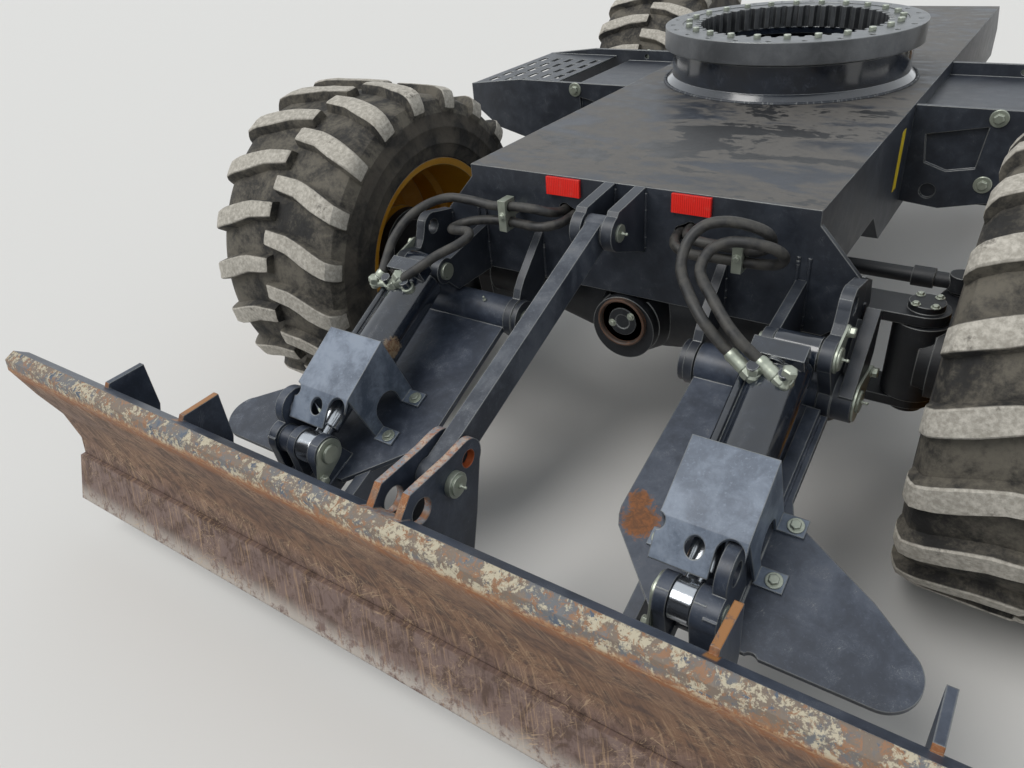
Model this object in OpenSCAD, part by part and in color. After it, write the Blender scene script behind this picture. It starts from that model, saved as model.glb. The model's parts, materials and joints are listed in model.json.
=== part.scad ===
// Undercarriage of a wheeled excavator with a dozer blade.
// +X is to the right seen from the blade end, the blade is at -Y, +Z is up, and the wheels stand on z = 0.
// The origin is under the middle of the whole undercarriage.

/* [Layout] */
// Radius of the tyres over the lugs
tyre_r = 510; // [490:1:520]
// Distance between the two axles
wheelbase = 2300; // [2250:10:2600]
// Slewing centre to the axle at the blade end
front_axle_off = 1000; // [980:5:1020]
// Slewing centre to the pivots of the blade arms
pivot_off = 1300; // [1290:5:1340]
// Middle of the machine to the middle of each tyre
track_half = 980; // [970:5:1050]

/* [Chassis] */
// Height of the top plate
top_z = 885; // [870:5:920]
// Thickness of the box plates
plate_t = 14; // [10:1:20]
// Half the width over the side walls
box_half_w = 450; // [430:5:460]
// Slewing centre to the face of the front plate
front_plate_off = 1170; // [1165:1:1180]
// Half the width of the front plate at its shoulders
shoulder_half_w = 543; // [520:1:560]
// Height of the front plate's shoulders
shoulder_z = 750; // [730:5:770]
// Half the width of the front plate along its top
front_top_half = 420; // [400:5:430]
// Lower edge of the front plate
front_plate_z = 600; // [600:1:620]
// Underside of the box over the axles
arch_z = 665; // [660:1:680]
// Underside of the box between the axles
belly_z = 560; // [540:5:580]
// Slewing centre to the back end of the box
rear_end_off = 1560; // [1540:5:1600]
// Radius of the oval ends of the hose slots
slot_r = 16; // [12:1:20]

/* [Slewing ring] */
// Outer radius of the pedestal
pedestal_r = 373; // [360:1:380]
// Height of the pedestal
pedestal_h = 100; // [80:5:120]
// Height of the turning outer race
race_h = 62; // [50:1:80]
// Outer radius of the turning race
race_r = 400; // [395:1:410]
// Bolts in the turning race
race_bolts = 24; // [16:1:32]
// Diameter of the bolt holes in the turning race
race_bolt_d = 18; // [14:1:20]

/* [Blade linkage] */
// Height of the lower arm pivots
pivot_z = 540; // [535:1:545]
// Height of the upper link pivot above the lower ones
link_rise = 281; // [270:1:290]
// Pivot to pivot length of the arms and of the upper link
arm_len = 692; // [680:1:700]
// Slope of the arms as the machine is parked
park_angle = 21.3; // [20:0.1:22]
// Radius of the pivot pins of the arms
pivot_pin_r = 25; // [20:1:28]
// Arm side of the inner ear plates from the middle
inner_ear_x = 258; // [256:1:260]
// Middle of each arm and cylinder from the middle of the machine
unit_x = 470; // [468:1:472]
// Thickness of the inner ear plates
ear_t = 22; // [18:1:25]
// Thickness of the ears inside the cylinders
mid_ear_t = 24; // [20:1:26]
// Thickness of the outer ears and of the upper link's ears
outer_ear_t = 27; // [22:1:28]
// Thickness of the outer plates that keep the pivot pins
keeper_t = 28; // [20:1:30]
// Radius of the lashing eyes in the outer ears
lashing_r = 20; // [18:1:22]
// Lashing eyes above the arm pivots
lashing_up = 192; // [188:1:194]
// Radius of the pins of the upper link
link_pin_r = 20; // [16:1:22]
// Radial clearance of the pins
pin_fit = 0.05; // [0.02:0.01:0.1]
// Clearance between ears and the hubs between them
side_gap = 2; // [1:0.5:3]
// Gap left between pieces that are seated on each other
seat_gap = 0.25; // [0.2:0.05:0.3]

/* [Blade cylinders] */
// Barrel pin behind the blade side of the arm pivot
barrel_pin_fwd = 65; // [60:1:70]
// Barrel pin above the arm pivot
barrel_pin_up = 127; // [122:1:132]
// Rod pin along the arm from its pivot
rod_pin_along = 566; // [560:1:570]
// Rod pin above the line of the arm
rod_pin_up = 78; // [74:1:82]
// Outside radius of the barrels
barrel_r = 59; // [55:1:61]
// Radius of the piston rods
rod_r = 30; // [26:1:32]
// Length of the barrels from their pins
barrel_len = 340; // [320:5:345]
// Radius of the cylinder pins
cyl_pin_r = 22; // [18:1:25]
// Clearance of the rod eyes, which drift on their pins as the blade moves
eye_drift = 8; // [7.5:0.5:9]
// Width of the guards over the rod ends
guard_w = 165; // [160:1:168]

/* [Blade] */
// Width of the blade
blade_w = 2480; // [2400:10:2550]
// Arm pins to the front of the blade's top lip
lip_reach = 186; // [180:1:192]
// Lower edge of the blade below the arm pins
blade_drop = 171; // [165:1:175]
// Top of the blade above the arm pins
blade_rise = 312; // [305:1:316]
// Thickness of the moldboard
mold_t = 22; // [18:1:26]
// Thickness of the lugs of the upper link
blade_lug_t = 16; // [12:1:20]
// Radius of the shackle hole in the lugs
shackle_r = 18; // [15:1:20]

/* [Wheels] */
// Width of the tyres
tyre_w = 495; // [470:5:500]
// Radius of the rim under the tyre beads
rim_r = 286; // [280:1:290]
// Height of the lugs over the carcass
lug_h = 30; // [25:1:34]
// Lugs on each shoulder of a tyre
lugs = 20; // [16:1:24]
// Kingpins from the middle of the machine
kingpin_x = 660; // [650:1:665]

/* [Hidden] */

$fn = 48;
front_reach = pivot_off + arm_len * cos(park_angle) + lip_reach;
rear_reach = wheelbase - front_axle_off + tyre_r;
slew_y = (front_reach - rear_reach) / 2;
front_axle_y = slew_y - front_axle_off;
rear_axle_y = front_axle_y + wheelbase;
pivot_y = slew_y - pivot_off;
front_plate_y = slew_y - front_plate_off;
axle_z = tyre_r;
link_pivot_z = pivot_z + link_rise;
arm_pin_y = pivot_y - arm_len * cos(park_angle);
arm_pin_z = pivot_z - arm_len * sin(park_angle);
link_pin_z = arm_pin_z + link_rise;
barrel_pin_y = pivot_y - barrel_pin_fwd;
barrel_pin_z = pivot_z + barrel_pin_up;
rod_pin_y = pivot_y - rod_pin_along * cos(park_angle) - rod_pin_up * sin(park_angle);
rod_pin_z = pivot_z - rod_pin_along * sin(park_angle) + rod_pin_up * cos(park_angle);
cyl_angle = atan2(barrel_pin_z - rod_pin_z, barrel_pin_y - rod_pin_y);
cyl_len = norm([barrel_pin_y - rod_pin_y, barrel_pin_z - rod_pin_z]);
slot_x = 155;
slot_z = 795;
slot_half = 12;
rod_eye_w = 40;
hub_r = 48;
cyl_boss_r = 34;
outer_ear_x = unit_x + barrel_r + side_gap;
mid_ear_x = unit_x - 32;
keeper_x = outer_ear_x + outer_ear_t + 12;
wing_x = shoulder_half_w - 7;
link_ear_x = 26;
blade_lug_x = 25;
link_lug_back = 52;
link_lug_up = 22;
lashing_back = 43;
tall_lobe_along = 67;
tall_lobe_up = 38;
flag_t = 5;
hanger_at = [-152, 96];
hanger_t = 26;
axle_pivot_up = 118;
axle_pivot_r = 26;
steer_barrel_r = 36;
steer_y = front_axle_y + 220;
steer_z = axle_z + 93;
ball_x = kingpin_x + 43;
inner_ball_x = 400;

// A round bar along X
module xrod(x0, x1, r) translate([x0, 0, 0]) rotate([0, 90, 0]) cylinder(h = x1 - x0, r = r);

// A round bar along Y
module yrod(y0, y1, r) translate([0, y1, 0]) rotate([90, 0, 0]) cylinder(h = y1 - y0, r = r);

// A plate square to X, its outline drawn in Y and Z
module side_plate(x0, x1) translate([x0, 0, 0]) rotate([90, 0, 90]) linear_extrude(x1 - x0) children();

// A plate square to Y, its outline drawn in X and Z
module cross_plate(y0, y1) translate([0, y1, 0]) rotate([90, 0, 0]) linear_extrude(y1 - y0) children();

// The child and its mirror image on the other side of the machine
module both_sides() {
    children();
    mirror([1, 0, 0]) children();
}

// The child on the right (side = 1) or mirrored to the left (side = -1)
module on_side(side) {
    if (side > 0) children();
    else mirror([1, 0, 0]) children();
}

// The frame of the arms: -Y runs along the arm to the blade
module arm_frame() translate([0, pivot_y, pivot_z]) rotate([park_angle, 0, 0]) children();

// The frame of the blade cylinders: -Y runs from the barrel pin to the rod pin
module cyl_frame() translate([0, barrel_pin_y, barrel_pin_z]) rotate([cyl_angle, 0, 0]) children();

// A smooth route through chosen points, with n steps between neighbours
function blend4(a, b, c, d, t) = 0.5 * (2 * b + (c - a) * t + (2 * a - 5 * b + 4 * c - d) * t * t
    + (3 * b - a - 3 * c + d) * t * t * t);
function route(p, n) = let (last = len(p) - 1) concat([for (i = [0:last - 1]) for (k = [0:n - 1])
    blend4(p[max(i - 1, 0)], p[i], p[i + 1], p[min(i + 2, last)], k / n)], [p[last]]);
function heading(p, i) = let (d = p[min(i + 1, len(p) - 1)] - p[max(i - 1, 0)]) d / norm(d);
function square_to(v, t) = let (w = v - (v * t) * t) w / norm(w);
function carried(p, i) = i == 0 ? square_to([0.31, 0.24, 0.92], heading(p, 0))
    : square_to(carried(p, i - 1), heading(p, i));

// A hose of radius r along the route p
module hose(p, r) {
    sides = 8;
    rings = [for (i = [0:len(p) - 1]) let (t = heading(p, i), u = carried(p, i), v = cross(t, u))
        for (k = [0:sides - 1]) p[i] + r * (cos(k * 360 / sides) * u + sin(k * 360 / sides) * v)];
    walls = [for (i = [0:len(p) - 2]) for (k = [0:sides - 1])
        let (a = i * sides + k, b = i * sides + (k + 1) % sides) [a, a + sides, b + sides, b]];
    first = [for (k = [0:sides - 1]) k];
    last = [for (k = [sides - 1:-1:0]) (len(p) - 1) * sides + k];
    polyhedron(rings, concat(walls, [first, last]));
}

// Chassis

module box_outline() polygon([
    [front_plate_y, arch_z], [front_plate_y, top_z], [slew_y + rear_end_off - 120, top_z],
    [slew_y + rear_end_off, top_z - 110], [slew_y + rear_end_off, arch_z], [slew_y + 760, arch_z],
    [slew_y + 640, belly_z], [slew_y - 480, belly_z], [slew_y - 600, arch_z]]);

module box_bore() polygon([
    [front_plate_y + plate_t, arch_z + plate_t], [front_plate_y + plate_t, top_z - plate_t],
    [slew_y + rear_end_off - 126, top_z - plate_t], [slew_y + rear_end_off - plate_t, top_z - 116],
    [slew_y + rear_end_off - plate_t, arch_z + plate_t], [slew_y + 753, arch_z + plate_t],
    [slew_y + 633, belly_z + plate_t], [slew_y - 473, belly_z + plate_t], [slew_y - 593, arch_z + plate_t]]);

module front_plate_outline() polygon([
    [front_top_half, top_z], [shoulder_half_w, shoulder_z], [shoulder_half_w - 12, front_plate_z + 40],
    [shoulder_half_w - 60, front_plate_z], [60 - shoulder_half_w, front_plate_z],
    [12 - shoulder_half_w, front_plate_z + 40], [-shoulder_half_w, shoulder_z], [-front_top_half, top_z]]);

module hose_slot() translate([slot_x, slot_z]) {
    translate([-slot_half, -slot_half / 2]) circle(slot_r);
    translate([slot_half, slot_half / 2]) circle(slot_r);
    rotate(atan2(1, 2)) square([slot_half * sqrt(5), 2 * slot_r - 1], center = true);
}

// Welded box with its skirted front plate and the hangers of the pivoting axle
module chassis_frame() color([0.16, 0.18, 0.21]) {
    difference() {
        union() {
            difference() {
                side_plate(-box_half_w, box_half_w) box_outline();
                side_plate(plate_t - box_half_w, box_half_w - plate_t) box_bore();
            }
            cross_plate(front_plate_y, front_plate_y + plate_t) front_plate_outline();
            for (y = [-600, 640]) translate([0, slew_y + y, 0])
                cross_plate(0, plate_t) translate([plate_t - box_half_w, arch_z + plate_t / 2])
                    square([2 * (box_half_w - plate_t), top_z - arch_z - plate_t]);
            for (y = hanger_at) translate([0, front_axle_y + y, 0])
                cross_plate(0, hanger_t) axle_hanger();
            both_sides() translate([0, rear_axle_y, 0]) side_plate(260, 340)
                polygon([[-80, axle_z + 92], [80, axle_z + 92], [120, arch_z + 1], [-120, arch_z + 1]]);
        }
        cross_plate(front_plate_y - 1, front_plate_y + plate_t + 1) {
            hose_slot();
            mirror([1, 0]) hose_slot();
        }
        translate([0, slew_y, top_z - plate_t - 1]) cylinder(h = plate_t + 2, r = 250);
        for (y = hanger_at) translate([0, front_axle_y + y, axle_z + axle_pivot_up])
            yrod(-1, hanger_t + 1, axle_pivot_r + pin_fit);
    }
}

module axle_hanger() hull() {
    translate([0, axle_z + axle_pivot_up]) circle(axle_pivot_r + 16);
    translate([-110, arch_z]) square([220, 2]);
}

// Ears on the front plate for the arms, the cylinders and the upper link
module front_ears() color([0.15, 0.17, 0.2]) both_sides() difference() {
    union() {
        translate([0, pivot_y, pivot_z]) {
            side_plate(inner_ear_x - ear_t, inner_ear_x) inner_ear_outline();
            side_plate(mid_ear_x - mid_ear_t, mid_ear_x) mid_ear_outline();
            side_plate(outer_ear_x, outer_ear_x + outer_ear_t) outer_ear_outline();
            side_plate(keeper_x, keeper_x + keeper_t) keeper_outline();
            side_plate(outer_ear_x + outer_ear_t - 1, keeper_x + 1) {
                circle(hub_r);
                polygon([[28, 40], [90, 140], [108, 128], [70, 30]]);
            }
            xrod(inner_ear_x - ear_t - 14, inner_ear_x - ear_t + 1, hub_r);
        }
        side_plate(wing_x, wing_x + plate_t) wing_outline();
        translate([0, pivot_y, link_pivot_z]) side_plate(link_ear_x, link_ear_x + outer_ear_t) link_ear_outline();
    }
    translate([0, pivot_y, pivot_z]) {
        xrod(200, 700, pivot_pin_r + pin_fit);
        translate([0, -barrel_pin_fwd, barrel_pin_up]) xrod(mid_ear_x - 40, keeper_x - 5, cyl_pin_r + pin_fit);
        translate([0, lashing_back, lashing_up]) xrod(outer_ear_x - 5, keeper_x - 5, lashing_r);
    }
    translate([0, pivot_y, link_pivot_z]) xrod(20, 80, link_pin_r + pin_fit);
}

// Each ear is drawn from the pivot of the arms and ends at the front plate
plate_at = pivot_off - front_plate_off - seat_gap;

module inner_ear_outline() {
    polygon([[plate_at, 193], [32, 100], [12, 75], [0, hub_r], [0, 0], [36, -38], [plate_at, front_plate_z - pivot_z + 5]]);
    circle(hub_r + 4);
}

module mid_ear_outline() {
    polygon([[plate_at, 185], [23 - barrel_pin_fwd, barrel_pin_up + 25], [5 - barrel_pin_fwd, barrel_pin_up - 33],
        [-20, 56], [plate_at, 56]]);
    translate([-barrel_pin_fwd, barrel_pin_up]) circle(cyl_boss_r);
}

module outer_ear_outline() {
    polygon([[plate_at, front_plate_z - pivot_z], [plate_at, 212], [lashing_back + 16, lashing_up + 35],
        [lashing_back - 30, lashing_up + 24], [-5, 170], [-20, 152], [12 - barrel_pin_fwd, barrel_pin_up + 32],
        [-28 - barrel_pin_fwd, barrel_pin_up - 20], [-45, 25], [-30, -46], [15, -70]]);
    translate([lashing_back, lashing_up]) circle(lashing_r + 18);
    translate([-barrel_pin_fwd, barrel_pin_up]) circle(cyl_boss_r);
    circle(hub_r + 7);
}

// Outer plate that holds the heads of the pivot pins
module keeper_outline() {
    polygon([[100, 165], [-45, 30], [-10, -hub_r], [20, -48], [110, 60], [122, 150]]);
    circle(hub_r);
}

// Gusset behind the shoulders of the front plate
module wing_outline() translate([front_plate_y + plate_t + seat_gap, 0])
    polygon([[0, shoulder_z], [88, 706], [112, 640], [0, front_plate_z + 2]]);

module link_ear_outline() {
    polygon([[plate_at, top_z - link_pivot_z], [-4, 50], [-42, 0], [-20, -38], [plate_at, -96]]);
    circle(42);
}

// Pins of the arms, the cylinders and the upper link, with the plates that keep them from turning
module pivot_pins() color([0.55, 0.57, 0.55]) {
    both_sides() translate([0, pivot_y, pivot_z]) {
        xrod(inner_ear_x - ear_t - 18, keeper_x + keeper_t + 5, pivot_pin_r);
        translate([keeper_x + keeper_t + seat_gap, 0, 0]) pin_flag(44, [95, 20]);
        translate([0, -barrel_pin_fwd, barrel_pin_up]) {
            xrod(mid_ear_x - mid_ear_t - 8, outer_ear_x + outer_ear_t + 5, cyl_pin_r);
            translate([outer_ear_x + outer_ear_t + seat_gap, 0, 0]) pin_flag(30, [56, 33]);
        }
    }
    translate([0, pivot_y, link_pivot_z]) xrod(-57, 57, link_pin_r);
}

// A round plate with a tail to its bolt
module pin_flag(r, bolt) side_plate(0, flag_t) {
    circle(r);
    translate(bolt) circle(14);
    let (reach = norm(bolt), turn = asin((r - 14) / reach), a = atan2(bolt.y, bolt.x))
        polygon([for (s = [-1, 1]) for (k = s < 0 ? [0, 1] : [1, 0])
            let (n = [cos(a + s * (90 - turn)), sin(a + s * (90 - turn))]) k == 0 ? r * n : bolt + 14 * n]);
}

// Slewing ring

module slew_pedestal() color([0.08, 0.09, 0.1]) translate([0, slew_y, top_z]) rotate_extrude($fn = 96) {
    translate([pedestal_r - 24, 0]) square([24, pedestal_h]);
    translate([pedestal_r - 80, pedestal_h - 22]) square([80, 22]);
    polygon([[pedestal_r - 2, 0], [pedestal_r + 22, 0], [pedestal_r - 2, 24]]);
}

race_gap = 0.5;
race_split_r = 345;
teeth = 48;

// Geared inner race, bolted to the pedestal
module slew_ring_fixed() color([0.45, 0.46, 0.47]) translate([0, slew_y, top_z + pedestal_h]) difference() {
    cylinder(h = race_h + 6, r = race_split_r - race_gap, $fn = 96);
    translate([0, 0, -1]) cylinder(h = race_h + 8, r = 286, $fn = 96);
    for (i = [0:teeth - 1]) rotate(i * 360 / teeth) translate([284, 0, -1]) linear_extrude(race_h + 8)
        polygon([[0, -12], [20, -6], [20, 6], [0, 12]]);
}

// Outer race that carries the upper structure
module slew_ring_turning() color([0.3, 0.31, 0.33]) translate([0, slew_y, top_z + pedestal_h + 8]) difference() {
    cylinder(h = race_h, r = race_r, $fn = 96);
    translate([0, 0, -1]) cylinder(h = race_h + 2, r = race_split_r, $fn = 96);
    for (i = [0:race_bolts - 1]) rotate((i + 0.5) * 360 / race_bolts) translate([(race_r + race_split_r) / 2 + 3, 0, -1])
        cylinder(h = race_h + 2, d = race_bolt_d, $fn = 24);
}

// Rotary hose coupling in the middle of the ring
module swivel_joint() color([0.12, 0.12, 0.13]) translate([0, slew_y, 0]) {
    translate([0, 0, belly_z + plate_t + seat_gap]) cylinder(h = 40, r = 130);
    translate([0, 0, belly_z + plate_t + 30]) cylinder(h = 330, r = 75);
    translate([0, 0, belly_z + plate_t + 350]) cylinder(h = 60, r = 92);
    for (i = [0:7]) rotate(i * 45) translate([0, 0, belly_z + plate_t + 120 + 22 * i]) rotate([0, 90, 0])
        cylinder(h = 100, r = 16, $fn = 24);
}

// Axles

fork_gap = 96;

module trumpet() rotate([0, 90, 0]) rotate_extrude() polygon([
    [0, 60], [118, 60], [104, 160], [76, 300], [68, 470], [68, 540], [0, 540]]);

module front_axle() color([0.07, 0.075, 0.08]) translate([0, front_axle_y, axle_z]) {
    difference() {
        union() {
            rotate([90, 0, 0]) cylinder(h = 150, r1 = 135, r2 = 88);
            rotate([90, 0, 0]) translate([0, 0, 145]) cylinder(h = 37, r = 86);
            rotate([-90, 0, 0]) cylinder(h = 140, r1 = 135, r2 = 92);
            translate([0, -170, 19]) yrod(-12, 0, 62);
            rotate([-90, 0, 0]) translate([0, 0, 110]) cylinder(h = 88, r = 50);
            translate([-40, hanger_at[0] + hanger_t + 4, 60])
                cube([80, hanger_at[1] - hanger_at[0] - hanger_t - 8, axle_pivot_up - 32]);
            both_sides() {
                trumpet();
                side_plate(500, 545) polygon([[-70, 0], [-52, 120], [52, 120], [70, 0], [52, -120], [-52, -120]]);
                translate([60, 128, 30]) cube([20, steer_y - front_axle_y - 92, 106]);
                for (z = [fork_gap, -fork_gap - 24]) translate([0, 0, z]) linear_extrude(24) hull() {
                    translate([kingpin_x, 0]) circle(52);
                    translate([502, -52]) square([20, 104]);
                }
                translate([kingpin_x, 0, fork_gap + 20]) cylinder(h = 20, r = 38);
                translate([kingpin_x, 0, -fork_gap - 40]) cylinder(h = 20, r = 38);
            }
        }
        translate([0, -186, 19]) yrod(-1, 6, 40);
        for (y = hanger_at) translate([-60, y - 4, axle_pivot_up - axle_pivot_r - 22]) cube([120, hanger_t + 8, 90]);
        translate([0, steer_y - front_axle_y, steer_z - axle_z]) xrod(-100, 100, steer_barrel_r + seat_gap);
    }
    translate([0, 0, axle_pivot_up]) yrod(hanger_at[0] - 4, hanger_at[1] + hanger_t + 4, axle_pivot_r);
    both_sides() for (z = [40, -40 - fork_gap]) translate([kingpin_x, 0, z]) cylinder(h = fork_gap, r = 24);
}

module rear_axle() color([0.07, 0.075, 0.08]) translate([0, rear_axle_y, axle_z]) {
    rotate([90, 0, 0]) cylinder(h = 160, r1 = 140, r2 = 90);
    rotate([-90, 0, 0]) cylinder(h = 150, r1 = 140, r2 = 88);
    both_sides() {
        trumpet();
        xrod(530, 700, 84);
        translate([260, -70, 40]) cube([80, 140, 51.7]);
        wheel_carrier(track_half);
    }
}

// Fixed part of a wheel's reduction drive: drum, flange and the stub that the wheel turns on
module wheel_carrier(wheel_x) {
    xrod(wheel_x - 282, wheel_x - 90, 92);
    xrod(wheel_x - 120, wheel_x - 90, 130);
    xrod(wheel_x - 92, wheel_x + 60, 50);
}

module knuckle(side) color([0.09, 0.095, 0.1]) on_side(side) translate([0, front_axle_y, axle_z]) difference() {
    union() {
        translate([kingpin_x, 0, -fork_gap + side_gap]) cylinder(h = 2 * (fork_gap - side_gap), r = 62);
        wheel_carrier(track_half);
        xrod(kingpin_x + 10, track_half - 100, 78);
        translate([0, 0, 34]) linear_extrude(32) hull() {
            translate([kingpin_x + 10, 20]) circle(46);
            translate([ball_x, steer_y - front_axle_y]) circle(32);
        }
        translate([ball_x, steer_y - front_axle_y, 60]) cylinder(h = 14, r = 20);
        translate([ball_x, steer_y - front_axle_y, 60]) cylinder(h = 50, r = 12);
    }
    for (z = [36, -fork_gap]) translate([kingpin_x, 0, z]) cylinder(h = fork_gap - 36, r = 24 + pin_fit);
}
module knuckle_left() knuckle(-1);
module knuckle_right() knuckle(1);

// Steering

module steering_cylinder() color([0.05, 0.05, 0.06]) translate([0, steer_y, steer_z]) difference() {
    union() {
        xrod(-230, 230, steer_barrel_r);
        both_sides() xrod(205, 232, steer_barrel_r + 6);
        both_sides() translate([170, 0, steer_barrel_r - 6]) cylinder(h = 20, r = 12);
    }
    xrod(-240, 240, 18 + pin_fit);
}

module steering_rod() color([0.6, 0.61, 0.62]) translate([0, steer_y, steer_z]) {
    xrod(20 - inner_ball_x, inner_ball_x - 20, 18);
    both_sides() xrod(inner_ball_x - 60, inner_ball_x - 26, 26);
}

module tie_rod(side) color([0.06, 0.065, 0.07]) on_side(side) translate([0, steer_y, steer_z]) difference() {
    union() {
        translate([ball_x, 0, -18]) cylinder(h = 40, r = 30);
        xrod(inner_ball_x + 8, ball_x - 10, 19);
        xrod(ball_x - 110, ball_x - 60, 25);
    }
    translate([ball_x, 0, -20]) cylinder(h = 37, r = 12 + pin_fit);
}
module tie_rod_left() tie_rod(-1);
module tie_rod_right() tie_rod(1);

// Drive line

gearbox_y = -160 - seat_gap;
flange_y = gearbox_y - 156;

module travel_gearbox() color([0.08, 0.085, 0.09]) translate([0, rear_axle_y, axle_z]) {
    yrod(gearbox_y - 140, gearbox_y, 120);
    yrod(flange_y, gearbox_y - 130, 50);
    translate([0, 0, 98]) {
        yrod(-460, gearbox_y - 130, 50);
        yrod(gearbox_y - 150, gearbox_y - 20, 46);
    }
}

module prop_shaft() color([0.1, 0.1, 0.11]) translate([0, front_axle_y, axle_z]) {
    start = 198 + seat_gap;
    end = wheelbase + flange_y - seat_gap;
    yrod(start + 30, end - 30, 36);
    for (y = [start, end - 60]) translate([0, y, 0]) {
        yrod(0, 60, 46);
        translate([-40, 18, -12]) cube([80, 24, 24]);
    }
}

// Steps and their brackets on the sides of the box

step_front = -260;
step_back = 330;

module step_bracket_outline() polygon([
    [box_half_w, 600], [560, 590], [760, 640], [1010, 700], [1120, 780], [1120, 855], [900, 880], [box_half_w, 880]]);

module side_step(side) color([0.12, 0.13, 0.15]) on_side(side) translate([0, slew_y, 0]) {
    for (y = [step_front, step_back - 12]) difference() {
        cross_plate(y, y + 12) step_bracket_outline();
        cross_plate(y - 1, y + 13) {
            polygon([[489, 800], [644, 832], [632, 715], [560, 700], [500, 720]]);
            translate([523, 638]) circle(22);
            for (p = [[662, 857], [661, 673]]) translate(p) circle(9);
        }
    }
    difference() {
        translate([800, step_front + 12, 850]) cube([316, step_back - step_front - 24, 5]);
        for (x = [840, 900, 960, 1020, 1080]) for (y = [-200:90:240])
            translate([x - 15, y, 840]) cube([22, 64, 20]);
    }
    translate([box_half_w, step_front + 12, 610]) cube([290, step_back - step_front - 24, 230]);
}
module side_step_left() side_step(-1);
module side_step_right() side_step(1);

module reflectors() color([0.75, 0.03, 0.02]) both_sides()
    translate([120, front_plate_y - seat_gap - 8, 837]) cube([94, 8, 44]);

// Hoses from the slots in the front plate to the cylinders

hose_r = 12;
left_hose = [[-167, 8, 801], [-168, -20, 801], [-182, -50, 808], [-216, -64, 816], [-256, -65, 816], [-300, -64, 812],
    [-350, -64, 808], [-420, -62, 812], [-484, -68, 815], [-538, -94, 806], [-574, -150, 788], [-570, -240, 780],
    [-545, -300, 774]];
left_hose_low = [[-143, 8, 789], [-143, -26, 788], [-158, -60, 783], [-196, -76, 777], [-250, -68, 773], [-300, -64, 772],
    [-350, -66, 769], [-398, -82, 764], [-432, -126, 762], [-452, -192, 768], [-470, -270, 771], [-482, -310, 769]];
right_hose = [[167, 8, 801], [168, -20, 801], [184, -48, 801], [218, -60, 800], [262, -58, 798], [305, -56, 797], [345, -55, 800],
    [371, -64, 824], [366, -80, 852], [332, -94, 869], [285, -104, 874], [238, -120, 864], [208, -150, 836],
    [206, -194, 798], [244, -250, 770], [314, -304, 760], [384, -338, 761], [430, -354, 763]];
right_hose_low = [[143, 8, 789], [143, -26, 788], [156, -60, 783], [192, -76, 776], [250, -62, 770], [305, -56, 769], [347, -54, 769],
    [388, -62, 780], [406, -82, 806], [390, -102, 830], [350, -116, 841], [304, -128, 841], [268, -154, 826],
    [264, -198, 796], [312, -248, 775], [394, -294, 768], [460, -330, 767], [497, -352, 767]];
clip_hoses = [[[-300, -64, 812], [-300, -64, 772]], [[305, -56, 797], [305, -56, 769]]];

// Hose points run from the middle of the front plate's face
module hose_run(p) hose(route([for (q = p) [q.x, q.y + front_plate_y, q.z]], 3), hose_r);

module hoses_left() color([0.03, 0.03, 0.03]) {
    hose_run(left_hose);
    hose_run(left_hose_low);
}

module hoses_right() color([0.03, 0.03, 0.03]) {
    hose_run(right_hose);
    hose_run(right_hose_low);
}

// Clamps round the pairs of hoses, each on its own foot on the front plate
module hose_clips() color([0.55, 0.55, 0.5]) for (c = clip_hoses)
    translate([0, front_plate_y, 0]) difference() {
        side_plate(c[0].x - 11, c[0].x + 11) {
            translate([c[0].y - 22, c[1].z - 20]) square([44, c[0].z - c[1].z + 40]);
            translate([c[0].y, (c[0].z + c[1].z) / 2 - 8]) square([-c[0].y - seat_gap, 16]);
        }
        for (q = c) translate([0, q.y, q.z]) xrod(q.x - 20, q.x + 20, hose_r + 1.5);
    }

// Arms

arm_plate_t = 15;
rib_x = unit_x + 48;
rib_w = 28;
inner_rib_x = unit_x - 118;
lug_inner_w = 26;
lug_outer_w = 24;
lug_inner_x = unit_x - rod_eye_w / 2 - side_gap - lug_inner_w;
lug_outer_x = unit_x + rod_eye_w / 2 + side_gap;
tall_ear_w = 25;
tall_ear_x = [lug_outer_x + lug_outer_w + 40, lug_outer_x + lug_outer_w];
blade_hubs = [[unit_x - 128, unit_x - 76], [unit_x + 34, unit_x + 86]];

// Half outline of the wide floor plate: x from the middle, then distance along the arm
module floor_outline() difference() {
    union() {
        polygon([[inner_ear_x + 4, 30], [inner_ear_x + 4, 62], [inner_ear_x - 6, 405], [inner_ear_x - 2, 425],
            [inner_ear_x + 8, 448], [382, 568], [404, 590], [793, 590], [840, 487], [749, 415], [575, 310],
            [560, 272], [560, 62], [527, 62], [527, 30]]);
        translate([793, 528]) circle(62);
    }
    translate([592, 599]) circle(15);
}

module rod_lug_outline(top_back) {
    polygon([[50 - rod_pin_along, 0], [top_back - rod_pin_along, rod_pin_up + 36], [-rod_pin_along - 10, rod_pin_up + 42],
        [-rod_pin_along - 42, rod_pin_up], [-rod_pin_along - 60, 0], [-rod_pin_along - 66, -36], [50 - rod_pin_along, -36]]);
    translate([-rod_pin_along, rod_pin_up]) circle(42);
}

module tall_ear_outline() {
    polygon([[90 - rod_pin_along, 0], [114 - rod_pin_along, rod_pin_up + 34], [-rod_pin_along - 30, rod_pin_up + 33],
        [-rod_pin_along - 42, rod_pin_up], [-rod_pin_along - 60, 0], [-rod_pin_along - 66, -30], [90 - rod_pin_along, -30]]);
    translate([-rod_pin_along, rod_pin_up]) circle(42);
    translate([tall_lobe_along - rod_pin_along, rod_pin_up + tall_lobe_up]) circle(50);
}

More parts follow.
